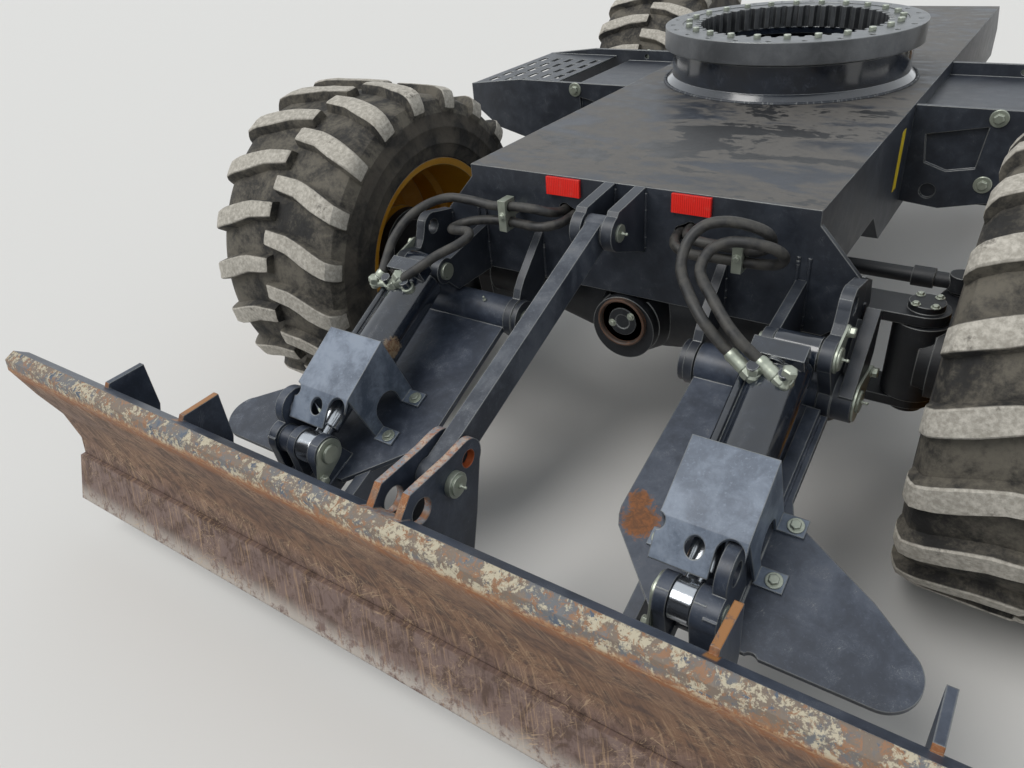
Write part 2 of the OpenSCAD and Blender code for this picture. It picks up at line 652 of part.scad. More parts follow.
// Arm with its floor plate, the box under it and the ears of the cylinder
module arm(side) color([0.17, 0.2, 0.25]) on_side(side) arm_frame() difference() {
    ear_x = tall_ear_x[side > 0 ? 1 : 0];
    union() {
        translate([0, 0, -arm_plate_t / 2]) linear_extrude(arm_plate_t) mirror([0, 1]) floor_outline();
        xrod(inner_ear_x + side_gap, outer_ear_x - side_gap, hub_r);
        translate([0, -arm_len, 0]) for (h = blade_hubs) xrod(h[0], h[1], hub_r);
        side_plate(inner_rib_x, inner_rib_x + rib_w) polygon([[0, -40], [0, 0], [-arm_len, 0],
            [-arm_len - 10, -45], [-400, -80], [-200, -72]]);
        side_plate(rib_x, rib_x + rib_w) polygon([[-64, -50], [-64, 30], [-300, 30], [-336, 7], [-arm_len, 20],
            [-arm_len - 10, -45], [-400, -80], [-200, -72]]);
        side_plate(lug_inner_x, lug_inner_x + lug_inner_w) rod_lug_outline(20);
        side_plate(lug_outer_x, lug_outer_x + lug_outer_w) rod_lug_outline(20);
        side_plate(ear_x, ear_x + tall_ear_w) tall_ear_outline();
        translate([0, -rod_pin_along, rod_pin_up]) xrod(lug_outer_x + lug_outer_w - 1, ear_x + 1, 34);
    }
    xrod(0, 700, pivot_pin_r + pin_fit);
    translate([0, -arm_len, 0]) xrod(0, 700, pivot_pin_r + pin_fit);
    translate([0, -rod_pin_along, rod_pin_up]) xrod(0, 700, cyl_pin_r + pin_fit);
    translate([0, tall_lobe_along - rod_pin_along, rod_pin_up + tall_lobe_up]) xrod(ear_x - 1, ear_x + 40, 24);
}
module arm_left() arm(-1);
module arm_right() arm(1);

module arm_pins(side) color([0.6, 0.62, 0.58]) on_side(side) arm_frame() translate([0, -rod_pin_along, rod_pin_up]) {
    xrod(lug_inner_x - 12, tall_ear_x[side > 0 ? 1 : 0] + tall_ear_w + 2, cyl_pin_r);
    translate([lug_inner_x - flag_t - seat_gap, 0, 0]) pin_flag(38, [-52, -34]);
}
module arm_pins_left() arm_pins(-1);
module arm_pins_right() arm_pins(1);

guard_t = 6;
guard_floor = arm_plate_t / 2 + seat_gap;
guard_rear = 305;
guard_bend = 463;
guard_front = 533;
guard_top = 200;
guard_bend_up = 170;
guard_front_up = 124;

module guard_sheet() polygon([[-guard_rear, guard_top], [-guard_bend, guard_bend_up], [-guard_front, guard_front_up],
    [-guard_front + guard_t, guard_front_up - 2], [-guard_bend + guard_t / 2, guard_bend_up - guard_t], [-guard_rear, guard_top - guard_t]]);

module guard_wall() difference() {
    polygon([[5 - guard_rear, guard_floor], [-guard_rear, guard_top - 1], [-guard_bend, guard_bend_up - 1], [5 - guard_bend, guard_floor]]);
    translate([-385, 44]) circle(40);
    translate([-425, 0]) square([80, 44]);
}

// Folded plate over the rod end, with its notch and its inspection hole at the same hand on both units
module guard(side) color([0.36, 0.42, 0.5]) translate([side * unit_x, 0, 0]) arm_frame() difference() {
    union() {
        side_plate(-guard_w / 2, guard_w / 2) guard_sheet();
        for (x = [-guard_w / 2, guard_w / 2 - guard_t]) side_plate(x, x + guard_t) guard_wall();
        for (u = [325, 445]) for (s = [-1, 1])
            translate([s * (guard_w / 2 + 24) - 27, -u - 20, guard_floor]) cube([54, 40, guard_t]);
    }
    translate([-6, -494, 60]) cylinder(h = 120, r = 18);
    translate([56, -490, 60]) cylinder(h = 120, r = 26);
    translate([30, -560, 60]) cube([80, 70, 120]);
    translate([-guard_w / 2, -474, 120]) cylinder(h = 80, r = 14);
}
module guard_left() guard(-1);
module guard_right() guard(1);

// Upper link

module top_link() color([0.2, 0.23, 0.27]) translate([0, pivot_y, link_pivot_z]) rotate([park_angle, 0, 0])
    difference() {
        union() {
            translate([-19, -arm_len, -32]) cube([38, arm_len, 64]);
            xrod(side_gap - link_ear_x, link_ear_x - side_gap, 34);
            translate([0, -arm_len, 0]) xrod(side_gap - blade_lug_x, blade_lug_x - side_gap, 34);
        }
        for (y = [0, -arm_len]) translate([0, y, 0]) xrod(-40, 40, link_pin_r + pin_fit);
    }

// Blade, drawn from the arm pins: Y and Z of the moldboard's front face

lip_t = 62;
lug_plate_t = 22;
gusset_t = 15;

module mold_outline() {
    front = [[-lip_reach, blade_rise - 40], [-150, 175], [-112, 90], [-95, 0], [-102, -47], [-147, -blade_drop]];
    back = [for (i = [len(front) - 1:-1:0]) front[i] + [mold_t, 0]];
    polygon(concat(front, back));
    polygon([[-lip_reach, blade_rise - 42], [-lip_reach + 4, blade_rise - 12], [-lip_reach + 30, blade_rise],
        [-lip_reach + lip_t, blade_rise - 22], [-lip_reach + lip_t + 4, blade_rise - 60],
        [-lip_reach + 40, blade_rise - 70]]);
}

// Lug of the upper link, drawn from the link's pin
module link_lug_outline() {
    polygon([[-150, 15], [-112, 55], [0, 57], [45, 62], [link_lug_back, link_lug_up], [90, 20], [57, -118],
        [34, -197], [-86, -197], [-104, -140], [-150, -50]]);
    translate([link_lug_back, link_lug_up]) circle(40);
}

module blade() color([0.35, 0.25, 0.2]) translate([0, arm_pin_y, arm_pin_z]) difference() {
    union() {
        side_plate(-blade_w / 2, blade_w / 2) mold_outline();
        both_sides() {
            for (h = blade_hubs) for (x = [h[0] - side_gap - lug_plate_t, h[1] + side_gap])
                side_plate(x, x + lug_plate_t) {
                    polygon([[-90, -60], [-100, 130], [0, 46], [0, -46]]);
                    circle(46);
                }
            for (x = [590, 870]) side_plate(x, x + gusset_t)
                polygon([[-lip_reach + lip_t - 20, blade_rise - 40], [-lip_reach + lip_t, blade_rise - 8],
                    [-lip_reach + lip_t + 92, blade_rise - 6], [-28, 190], [-80, 20], [-100, 120]]);
            translate([0, 0, link_rise]) side_plate(blade_lug_x, blade_lug_x + blade_lug_t) link_lug_outline();
            side_plate(blade_w / 2 - 20, blade_w / 2) polygon([[-90, -60], [-90, 120], [-20, 60], [-20, -60]]);
        }
        side_plate(-blade_w / 2, blade_w / 2) polygon([[-84, -60], [-70, -60], [-70, 60], [-84, 60]]);
    }
    xrod(-700, 700, pivot_pin_r + pin_fit);
    translate([0, 0, link_rise]) {
        xrod(-100, 100, link_pin_r + pin_fit);
        translate([0, link_lug_back, link_lug_up]) xrod(-100, 100, shackle_r);
        translate([0, -90, 2]) xrod(-100, 100, 26);
    }
}

module cutting_edge() color([0.4, 0.3, 0.26]) translate([0, arm_pin_y, arm_pin_z])
    side_plate(-blade_w / 2, blade_w / 2) polygon([
        [-147.3, -blade_drop], [-102.3, -47], [-116, -47], [-160, -blade_drop]]);

module blade_pins() color([0.6, 0.62, 0.58]) translate([0, arm_pin_y, arm_pin_z]) {
    both_sides() for (h = blade_hubs) xrod(h[0] - lug_plate_t - 6, h[1] + lug_plate_t + 6, pivot_pin_r);
    translate([0, 0, link_rise]) {
        xrod(-blade_lug_x - blade_lug_t - 6, blade_lug_x + blade_lug_t + 16, link_pin_r);
        xrod(blade_lug_x + blade_lug_t + seat_gap, blade_lug_x + blade_lug_t + 12, link_pin_r + 6);
    }
}

// Cylinders

valve_block_back = 32;

module barrel(side) color([0.05, 0.055, 0.065]) translate([side * unit_x, 0, 0]) cyl_frame() difference() {
    union() {
        on_side(side) xrod(mid_ear_x + side_gap - unit_x, outer_ear_x - side_gap - unit_x, 36);
        yrod(-60, -20, 30);
        yrod(-barrel_len, -42, barrel_r);
        yrod(-barrel_len - 22, -barrel_len + 1, barrel_r - 4);
        translate([-58, 0, 34]) yrod(-barrel_len + 20, -90, 9);
        translate([-62, -barrel_len + 20, 10]) cube([30, 24, 30]);
        translate([-56, -valve_block_back - 38, 40]) cube([108, 38, 34]);
        translate([-5, 0, 52]) yrod(-valve_block_back - 44, -valve_block_back - 30, 20);
        for (x = [-34, 27]) translate([x, -104, 40]) cylinder(h = 40, r = 12);
    }
    xrod(-60, 60, cyl_pin_r + pin_fit);
    yrod(-barrel_len - 30, -80, rod_r + pin_fit);
}
module barrel_left() barrel(-1);
module barrel_right() barrel(1);

module rod(side) color([0.75, 0.76, 0.78]) on_side(side) translate([unit_x, 0, 0]) cyl_frame() difference() {
    union() {
        yrod(-cyl_len + 60, -168, rod_r);
        yrod(-cyl_len + 20, -cyl_len + 61, rod_eye_w / 2 - 1);
        translate([0, -cyl_len, 0]) xrod(-rod_eye_w / 2, rod_eye_w / 2, 40);
    }
    translate([0, -cyl_len, 0]) xrod(-rod_eye_w, rod_eye_w, cyl_pin_r + eye_drift);
}
module rod_left() rod(-1);
module rod_right() rod(1);

// Wheels, drawn about X at the middle of the tyre

module on_wheel(side, y) on_side(side) translate([track_half, y, axle_z]) rotate([0, 90, 0]) children();

module rim(side, y) color([0.8, 0.55, 0.05]) on_wheel(side, y) difference() {
    union() {
        rotate_extrude($fn = 96) {
            difference() {
                polygon([[rim_r + 14, -tyre_w / 2 + 16], [rim_r + 14, -tyre_w / 2 + 24], [rim_r, -tyre_w / 2 + 30],
                    [rim_r - 6, -60], [rim_r - 20, -40], [rim_r - 20, 40], [rim_r - 6, 60],
                    [rim_r, tyre_w / 2 - 30], [rim_r + 14, tyre_w / 2 - 24], [rim_r + 14, tyre_w / 2 - 16],
                    [rim_r - 8, tyre_w / 2 - 22], [rim_r - 14, 60], [rim_r - 30, 44], [rim_r - 30, -44],
                    [rim_r - 14, -60], [rim_r - 8, -tyre_w / 2 + 22]]);
            }
            polygon([[130, 60], [130, 76], [200, 76], [rim_r - 24, 46], [rim_r - 24, 30], [196, 60]]);
        }
        translate([0, 0, -60]) cylinder(h = 210, r = 132);
        translate([0, 0, 148]) cylinder(h = 22, r = 96);
    }
    translate([0, 0, -61]) cylinder(h = 124, r = 50 + pin_fit);
}

module carcass() rotate_extrude($fn = 96) {
    w = tyre_w / 2;
    base = tyre_r - lug_h;
    polygon([[rim_r + 0.5, 30 - w], [rim_r + 14.5, 32 - w], [rim_r + 16, 14 - w], [330, 8 - w], [390, 3 - w], [430, 6 - w],
        [base - 14, 26 - w], [base - 2, 60 - w], [base, 0], [base - 2, w - 60], [base - 14, w - 26], [430, w - 6],
        [390, w - 3], [330, w - 8], [rim_r + 16, w - 14], [rim_r + 14.5, w - 32], [rim_r + 0.5, w - 30],
        [rim_r - 5, 60], [rim_r - 5, -60]]);
}

module lug_outline() polygon([[-6, -26], [-6, 22], [80, 34], [150, 62], [260, 96], [260, 40], [160, 2], [90, -20]]);

module lug_ring() for (i = [0:lugs - 1]) for (s = [-1, 1])
    rotate((i + s * 0.25) * 360 / lugs) mirror([0, 0, s > 0 ? 0 : 1]) translate([tyre_r - 74, 0, 0])
        rotate([90, 0, 90]) rotate(90) mirror([0, 1]) linear_extrude(90) lug_outline();

module tread_envelope() rotate_extrude($fn = 96) {
    w = tyre_w / 2;
    polygon([[tyre_r - 80, -w], [tyre_r - 44, -w], [tyre_r - 14, 18 - w], [tyre_r - 3, 60 - w], [tyre_r, 0],
        [tyre_r - 3, w - 60], [tyre_r - 14, w - 18], [tyre_r - 44, w], [tyre_r - 80, w]]);
}

module tyre(side, y) color([0.09, 0.09, 0.09]) on_wheel(side, y) {
    carcass();
    intersection() {
        tread_envelope();
        lug_ring();
    }
}

module rim_front_left() rim(-1, front_axle_y);
module rim_front_right() rim(1, front_axle_y);
module rim_rear_left() rim(-1, rear_axle_y);
module rim_rear_right() rim(1, rear_axle_y);
module tyre_front_left() tyre(-1, front_axle_y);
module tyre_front_right() tyre(1, front_axle_y);
module tyre_rear_left() tyre(-1, rear_axle_y);
module tyre_rear_right() tyre(1, rear_axle_y);

chassis_frame();
front_ears();
slew_pedestal();
slew_ring_fixed();
swivel_joint();
front_axle();
rear_axle();
steering_cylinder();
travel_gearbox();
prop_shaft();
side_step_left();
side_step_right();
reflectors();
hoses_left();
hoses_right();
hose_clips();
pivot_pins();
arm_left();
arm_right();
guard_left();
guard_right();
arm_pins_left();
arm_pins_right();
blade();
cutting_edge();
blade_pins();
top_link();
barrel_left();
barrel_right();
rod_left();
rod_right();
knuckle_left();
knuckle_right();
steering_rod();
tie_rod_left();
tie_rod_right();
rim_front_left();
rim_front_right();
rim_rear_left();
rim_rear_right();
tyre_front_left();
tyre_front_right();
tyre_rear_left();
tyre_rear_right();
slew_ring_turning();
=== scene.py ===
"""Looks of a wheeled excavator's undercarriage with its dozer blade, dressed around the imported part."""
from __future__ import annotations

import json
import logging
import math
from dataclasses import dataclass, field
from enum import Enum
from typing import Sequence

import bpy
import numpy as np
from mathutils import Matrix

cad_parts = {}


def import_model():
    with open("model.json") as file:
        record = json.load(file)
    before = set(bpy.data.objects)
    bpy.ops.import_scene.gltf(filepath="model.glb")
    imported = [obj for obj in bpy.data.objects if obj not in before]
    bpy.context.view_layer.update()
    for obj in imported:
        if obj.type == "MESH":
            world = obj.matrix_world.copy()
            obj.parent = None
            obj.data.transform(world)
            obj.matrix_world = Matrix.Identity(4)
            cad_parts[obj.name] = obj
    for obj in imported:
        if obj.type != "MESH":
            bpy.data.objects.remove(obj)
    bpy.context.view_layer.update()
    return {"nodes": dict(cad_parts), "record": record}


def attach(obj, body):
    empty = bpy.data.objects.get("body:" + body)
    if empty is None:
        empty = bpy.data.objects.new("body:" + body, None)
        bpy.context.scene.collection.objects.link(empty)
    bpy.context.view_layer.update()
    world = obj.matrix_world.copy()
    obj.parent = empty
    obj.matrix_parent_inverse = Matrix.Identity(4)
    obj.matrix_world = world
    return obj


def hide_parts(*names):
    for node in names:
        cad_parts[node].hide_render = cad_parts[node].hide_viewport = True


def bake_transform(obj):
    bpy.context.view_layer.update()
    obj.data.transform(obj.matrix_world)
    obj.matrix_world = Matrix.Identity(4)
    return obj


LOG = logging.getLogger("undercarriage")
Colour = tuple[float, float, float]
Place = tuple[float, float, float]
Pair = tuple[float, float]
Codes = tuple[str, str]
Profile = Sequence[tuple[float, float]]
Socket = bpy.types.NodeSocket
Dress = dict[str, bpy.types.Material]

UP = (0.0, 0.0, 1.0)
AHEAD = (0.0, -1.0, 0.0)
ODD_WAY = (0.31, 0.24, 0.92)  # no piece points this way, so a cross product with it never vanishes
COAT_ROUGHNESS = 0.12
LEAST_ROUGHNESS = 0.12


class Named(Enum):
    """A choice whose name, in small letters, stands in the names of nodes and bodies."""

    @property
    def tag(self) -> str:
        """The name in small letters."""
        return self.name.lower()


class Side(Named):
    """The part's two sides, each with the sign that x has there."""

    LEFT = -1
    RIGHT = 1


class Axle(Named):
    """The two axles, each with the y of its wheels."""

    FRONT = -0.839635
    REAR = 1.460365


class Axis(Enum):
    """What a profile is turned about; the value picks x, y and z from (along, cosine part, sine part)."""

    Y = (2, 0, 1)
    Z = (1, 2, 0)


def paint(code: str) -> Colour:
    """Turn a six-figure colour code, as seen on a screen, into linear red, green and blue.

    Args:
        code: Two hexadecimal figures each for red, green and blue.

    Returns:
        The linear colour that the shaders need.
    """
    seen = np.array([int(code[i:i + 2], 16) for i in (0, 2, 4)]) / 255
    linear = np.where(seen <= 0.04045, seen / 12.92, ((seen + 0.055) / 1.055) ** 2.4)
    return tuple(float(v) for v in linear)


@dataclass
class Shell:
    """A mesh held as arrays: points of shape (n, 3), face tables of shape (m, corners) and marks by name."""

    points: np.ndarray
    faces: list[np.ndarray]
    marks: dict[str, np.ndarray] = field(default_factory=dict)

    def moved(self, origin: Sequence[float], axes: np.ndarray | None = None) -> "Shell":
        """Carry the shell into a frame: each point is point @ axes + origin.

        Args:
            origin: Where the frame lies.
            axes: Its three axes as rows, or nothing for those of the part.

        Returns:
            The shell there, with the same faces and marks.
        """
        turned = self.points if axes is None else self.points @ np.asarray(axes)
        return Shell(turned + np.asarray(origin), self.faces, self.marks)

    def facing(self, way: Sequence[float], at: Sequence[float]) -> "Shell":
        """Carry a shell that points up its z axis to a place where it points another way.

        Args:
            way: The way it points then, of any length.
            at: Where its origin goes.

        Returns:
            The shell there.
        """
        z = np.asarray(way, float) / np.linalg.norm(way)
        x = np.cross(z, ODD_WAY)
        x /= np.linalg.norm(x)
        return self.moved(at, np.stack([x, np.cross(z, x), z]))

    def flipped(self) -> "Shell":
        """The shell with its faces turned round."""
        return Shell(self.points, [t[:, ::-1] for t in self.faces], self.marks)

    def mirrored(self) -> "Shell":
        """The shell on the other side of x = 0, its faces turned to point outwards again."""
        return Shell(self.points * (-1, 1, 1), self.flipped().faces, self.marks)

    def outward(self) -> "Shell":
        """Turn the faces so that the volume, the sum of a . (b x c) / 6 over the triangles, is above zero.

        Returns:
            This shell, or the flipped one.
        """
        volume = 0.0
        for table in self.faces:
            p = self.points[table]
            for k in range(1, table.shape[1] - 1):
                volume += float(np.einsum("ij,ij->", p[:, 0], np.cross(p[:, k], p[:, k + 1])))
        return self if volume > 0 else self.flipped()


def joined(shells: Sequence[Shell]) -> Shell:
    """Join shells into one.

    Args:
        shells: Shells with the same marks, whose points come one after another.

    Returns:
        The one shell.
    """
    starts = np.cumsum([0] + [len(s.points) for s in shells[:-1]])
    faces = [table + start for s, start in zip(shells, starts) for table in s.faces]
    marks = {name: np.concatenate([s.marks[name] for s in shells]) for name in shells[0].marks}
    return Shell(np.concatenate([s.points for s in shells]), faces, marks)


def grid_faces(rows: int, cols: int, wrap_rows: bool = False, wrap_cols: bool = False) -> np.ndarray:
    """Quads of a grid of points: each joins a point, its neighbour across, and the two after them.

    Args:
        rows: Points along the first parameter.
        cols: Points along the second parameter.
        wrap_rows: Whether the last row joins the first.
        wrap_cols: Whether the last column joins the first.

    Returns:
        An array of four point numbers for each quad.
    """
    r = np.arange(rows if wrap_rows else rows - 1)[:, None]
    c = np.arange(cols if wrap_cols else cols - 1)[None, :]
    here, across = r * cols + c, r * cols + (c + 1) % cols
    below = ((r + 1) % rows) * cols
    return np.stack([here, across, below + (c + 1) % cols, below + c], -1).reshape(-1, 4)


def closed_rings(rings: np.ndarray) -> Shell:
    """Join rings of points, one after another, and close both ends with a flat face.

    Args:
        rings: Points of shape (rings, sides, 3).

    Returns:
        The closed shell.
    """
    count, sides = rings.shape[:2]
    ends = [np.arange(sides)[None, ::-1], (count - 1) * sides + np.arange(sides)[None, :]]
    return Shell(rings.reshape(-1, 3), [grid_faces(count, sides, wrap_cols=True), *ends])


def turned_shell(profile: Profile, sides: int, axis: Axis = Axis.Z) -> Shell:
    """Turn a profile about an axis.

    A point is (along, radius * cos a, radius * sin a) with a going once round.

    Args:
        profile: Pairs of distance along the axis and radius, from one end to the other.
        sides: Points round the axis.
        axis: What it is turned about.

    Returns:
        The closed shell.
    """
    p = np.array(profile, float)
    a = np.arange(sides) * 2 * math.pi / sides
    along = np.broadcast_to(p[:, :1], (len(p), sides))
    rings = np.stack([along, p[:, 1:] * np.cos(a), p[:, 1:] * np.sin(a)], -1)
    return closed_rings(rings[..., list(axis.value)])


def swept_tube(path: np.ndarray, radius: float | np.ndarray, sides: int) -> Shell:
    """Carry a circle along a path; each ring is square to the path and turns as little as it can.

    Args:
        path: Points of the middle line, of shape (n, 3).
        radius: One radius, or one for each point.
        sides: Points in each ring.

    Returns:
        The closed tube.
    """
    heading = np.gradient(path, axis=0)
    heading /= np.linalg.norm(heading, axis=1, keepdims=True)
    side = np.zeros_like(path)
    first = np.cross(heading[0], ODD_WAY)
    side[0] = first / np.linalg.norm(first)
    for i in range(1, len(path)):
        leaning = side[i - 1] - heading[i] * (side[i - 1] @ heading[i])
        side[i] = leaning / np.linalg.norm(leaning)
    up = np.cross(heading, side)
    a = (np.arange(sides) * 2 * math.pi / sides)[None, :, None]
    r = np.broadcast_to(np.asarray(radius, float), (len(path),))[:, None, None]
    return closed_rings(path[:, None] + r * (np.cos(a) * side[:, None] + np.sin(a) * up[:, None]))


def smooth_route(points: np.ndarray, steps: int) -> np.ndarray:
    """Join chosen points by one smooth curve, the blend of four neighbours that passes through each.

    Args:
        points: The chosen points, of shape (n, 3).
        steps: Points of the curve from each chosen point to the next.

    Returns:
        Points of the curve.
    """
    before = np.vstack([points[:1], points[:-2]])[:, None]
    after = np.vstack([points[2:], points[-1:]])[:, None]
    b, c = points[:-1, None], points[1:, None]
    t = (np.arange(steps) / steps)[None, :, None]
    curve = 0.5 * (2 * b + (c - before) * t + (2 * before - 5 * b + 4 * c - after) * t ** 2
                   + (3 * b - before - 3 * c + after) * t ** 3)
    return np.vstack([curve.reshape(-1, 3), points[-1:]])


def box_shell(low: Place, high: Place) -> Shell:
    """A box between two corners.

    Args:
        low: Its corner with the least x, y and z.
        high: The corner across from that one.

    Returns:
        The closed box.
    """
    lo, hi = np.asarray(low, float), np.asarray(high, float)
    corner = np.array([[i, j, k] for k in (0, 1) for j in (0, 1) for i in (0, 1)])
    faces = np.array([[0, 2, 3, 1], [4, 5, 7, 6], [0, 1, 5, 4], [2, 6, 7, 3], [0, 4, 6, 2], [1, 3, 7, 5]])
    return Shell(lo + corner * (hi - lo), [faces])


def hex_bolt(width: float, height: float, washer: float, washer_t: float) -> Shell:
    """A hexagon head on its washer, seated on z = 0 and pointing up, both with chamfered edges.

    Args:
        width: The head's width across its flats.
        height: The head's top above the seat.
        washer: The washer's radius.
        washer_t: The washer's thickness.

    Returns:
        Washer and head in one shell.
    """
    r = width / math.sqrt(3)
    head = turned_shell([(washer_t, r), (height * 0.82, r), (height, r * 0.84)], 6)
    disc = turned_shell([(0, washer), (washer_t * 0.7, washer), (washer_t, washer * 0.94)], 24)
    return joined([disc, head])


def new_object(name: str, shell: Shell, material: bpy.types.Material, body: str,
               crease: float) -> bpy.types.Object:
    """Make a shell an object that rides on a body.

    Args:
        name: Name of the piece.
        shell: Its mesh in the frame of the part.
        material: Its finish.
        body: The body that it moves with, or nothing for a piece that rides on no body.
        crease: Angle in degrees over which an edge stays sharp.

    Returns:
        The new object, at the origin.
    """
    mesh = bpy.data.meshes.new(name)
    corners = np.concatenate([t.reshape(-1) for t in shell.faces])
    counts = np.concatenate([np.full(len(t), t.shape[1]) for t in shell.faces])
    mesh.vertices.add(len(shell.points))
    mesh.vertices.foreach_set("co", shell.points.astype(np.float32).ravel())
    mesh.loops.add(len(corners))
    mesh.loops.foreach_set("vertex_index", corners.astype(np.int32))
    mesh.polygons.add(len(counts))
    mesh.polygons.foreach_set("loop_start", (np.cumsum(counts) - counts).astype(np.int32))
    mesh.polygons.foreach_set("loop_total", counts.astype(np.int32))
    for mark, values in shell.marks.items():
        layer = mesh.attributes.new(mark, "FLOAT", "POINT")
        layer.data.foreach_set("value", values.astype(np.float32))
    mesh.update(calc_edges=True)
    mesh.validate()
    mesh.shade_smooth()
    mesh.set_sharp_from_angle(angle=math.radians(crease))
    piece = bpy.data.objects.new(name, mesh)
    bpy.context.scene.collection.objects.link(piece)
    mesh.materials.append(material)
    if body:
        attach(piece, body)
    LOG.info("%s: %d points", name, len(shell.points))
    return piece


class Nodes:
    """Short calls that add shader nodes to one tree and join them."""

    def __init__(self, tree: bpy.types.NodeTree) -> None:
        """Keep the tree that the nodes go into."""
        self.tree = tree

    def add(self, kind: str, values: dict | None = None, **settings: object) -> bpy.types.Node:
        """Add a node, set its properties and fill its inputs.

        Args:
            kind: Blender's name of the node type.
            values: Input name or number to a value, a colour code or an output socket.
            settings: Properties of the node itself.

        Returns:
            The new node.
        """
        node = self.tree.nodes.new(kind)
        for name, value in settings.items():
            setattr(node, name, value)
        for key, value in (values or {}).items():
            socket = node.inputs[key]
            if isinstance(value, bpy.types.NodeSocket):
                self.tree.links.new(value, socket)
            elif isinstance(value, str):
                socket.default_value = (*paint(value), 1.0)
            elif isinstance(value, tuple) and len(value) < len(socket.default_value):
                socket.default_value = (*value, 1.0)
            else:
                socket.default_value = value
        return node

    def feed(self, node: bpy.types.Node, sockets: dict[str, Socket]) -> None:
        """Join sockets to the named inputs of a node."""
        for name, socket in sockets.items():
            self.tree.links.new(socket, node.inputs[name])

    def math(self, operation: str, a: object, b: object = 0.0) -> Socket:
        """The result of one sum on two values."""
        return self.add("ShaderNodeMath", {0: a, 1: b}, operation=operation).outputs[0]

    def plus(self, a: object, b: object) -> Socket:
        """The sum a + b."""
        return self.math("ADD", a, b)

    def minus(self, a: object, b: object) -> Socket:
        """The difference a - b."""
        return self.math("SUBTRACT", a, b)

    def times(self, a: object, b: object) -> Socket:
        """The product a * b."""
        return self.math("MULTIPLY", a, b)

    def most(self, a: object, b: object) -> Socket:
        """The larger of two values."""
        return self.math("MAXIMUM", a, b)

    def size_of(self, a: object) -> Socket:
        """The value without its sign."""
        return self.math("ABSOLUTE", a)

    def weighed(self, a: object, share_a: float, b: object, share_b: float) -> Socket:
        """The sum a * share_a + b * share_b."""
        return self.plus(self.times(a, share_a), self.times(b, share_b))

    def noise(self, where: Socket, scale: float, detail: float, rough: float, swirl: float = 0.0) -> Socket:
        """Soft noise from 0 to 1 with this many blotches to the metre."""
        return self.add("ShaderNodeTexNoise", {"Vector": where, "Scale": scale, "Detail": detail,
                                               "Roughness": rough, "Distortion": swirl}).outputs["Fac"]

    def step(self, value: object, low: object, high: object, to_low: float = 0.0,
             to_high: float = 1.0) -> Socket:
        """A smooth step of a value from low to high."""
        return self.add("ShaderNodeMapRange", {"Value": value, "From Min": low, "From Max": high,
                                               "To Min": to_low, "To Max": to_high},
                        interpolation_type="SMOOTHSTEP").outputs[0]

    def mix(self, share: object, a: object, b: object) -> Socket:
        """Colour a turning into colour b with the share."""
        return self.add("ShaderNodeMix", {0: share, 6: a, 7: b}, data_type="RGBA").outputs[2]

    def place(self) -> Socket:
        """Object coordinates, which are metres in the frame of the part."""
        return self.add("ShaderNodeTexCoord").outputs["Object"]

    def normal(self) -> Socket:
        """The way that the surface looks."""
        return self.add("ShaderNodeNewGeometry").outputs["Normal"]

    def mark(self, name: str) -> Socket:
        """A mark that the mesh carries at its points."""
        return self.add("ShaderNodeAttribute", attribute_name=name).outputs["Fac"]

    def part(self, where: Socket, axis: str) -> Socket:
        """One of the three coordinates."""
        return self.add("ShaderNodeSeparateXYZ", {0: where}).outputs[axis]

    def mapped(self, where: Socket, scale: Place = (1, 1, 1), turn: Place = (0, 0, 0),
               shift: Place = (0, 0, 0)) -> Socket:
        """Coordinates scaled, then turned in radians, then shifted."""
        return self.add("ShaderNodeMapping", {"Vector": where, "Scale": scale, "Rotation": turn,
                                              "Location": shift}).outputs[0]

    def bump(self, strength: object, distance: float, height: Socket, normal: Socket | None = None) -> Socket:
        """The normal that a height gives, on the surface's own normal unless another is named."""
        values = {"Strength": strength, "Distance": distance, "Height": height}
        return self.add("ShaderNodeBump", values | ({"Normal": normal} if normal else {})).outputs[0]

    def scratches(self, where: Socket, runs: Sequence[tuple[Place, Place]], stretch: Place,
                  ends: Pair) -> Socket:
        """Thin lines where noise that is drawn out along one way crosses its middle.

        Args:
            where: Coordinates that they lie in.
            runs: Turn and shift of each of three sets of lines.
            stretch: Blotches to the metre along each axis, few along the lines.
            ends: Distance from the noise's middle at which a line is gone, and at which it is whole.

        Returns:
            The mask of the lines.
        """
        lines = []
        for turn, shift in runs:
            spun = self.mapped(self.mapped(where, turn=turn, shift=shift), stretch)
            lines.append(self.step(self.size_of(self.minus(self.noise(spun, 1.0, 1.0, 0.5), 0.5)), *ends))
        return self.most(self.most(lines[0], lines[1]), lines[2])


def new_group(name: str, inputs: dict[str, object], outputs: dict[str, str]) -> tuple:
    """Start a node group with named sockets.

    Args:
        name: Name of the group.
        inputs: Input name to its default, a number or a colour.
        outputs: Output name to its kind: Float, Color or Vector.

    Returns:
        Its node calls, its input node's sockets and its output node.
    """
    tree = bpy.data.node_groups.new(name, "ShaderNodeTree")
    for key, value in inputs.items():
        kind = "NodeSocketFloat" if isinstance(value, float) else "NodeSocketColor"
        socket = tree.interface.new_socket(key, in_out="INPUT", socket_type=kind)
        socket.default_value = value if isinstance(value, float) else (*value, 1.0)
    for key, kind in outputs.items():
        tree.interface.new_socket(key, in_out="OUTPUT", socket_type="NodeSocket" + kind)
    return Nodes(tree), tree.nodes.new("NodeGroupInput").outputs, tree.nodes.new("NodeGroupOutput")


def new_material(name: str) -> tuple[bpy.types.Material, Nodes, bpy.types.Node]:
    """A new node material, its node calls and its Principled shader."""
    material = bpy.data.materials.new(name)
    material.use_nodes = True
    return material, Nodes(material.node_tree), material.node_tree.nodes["Principled BSDF"]


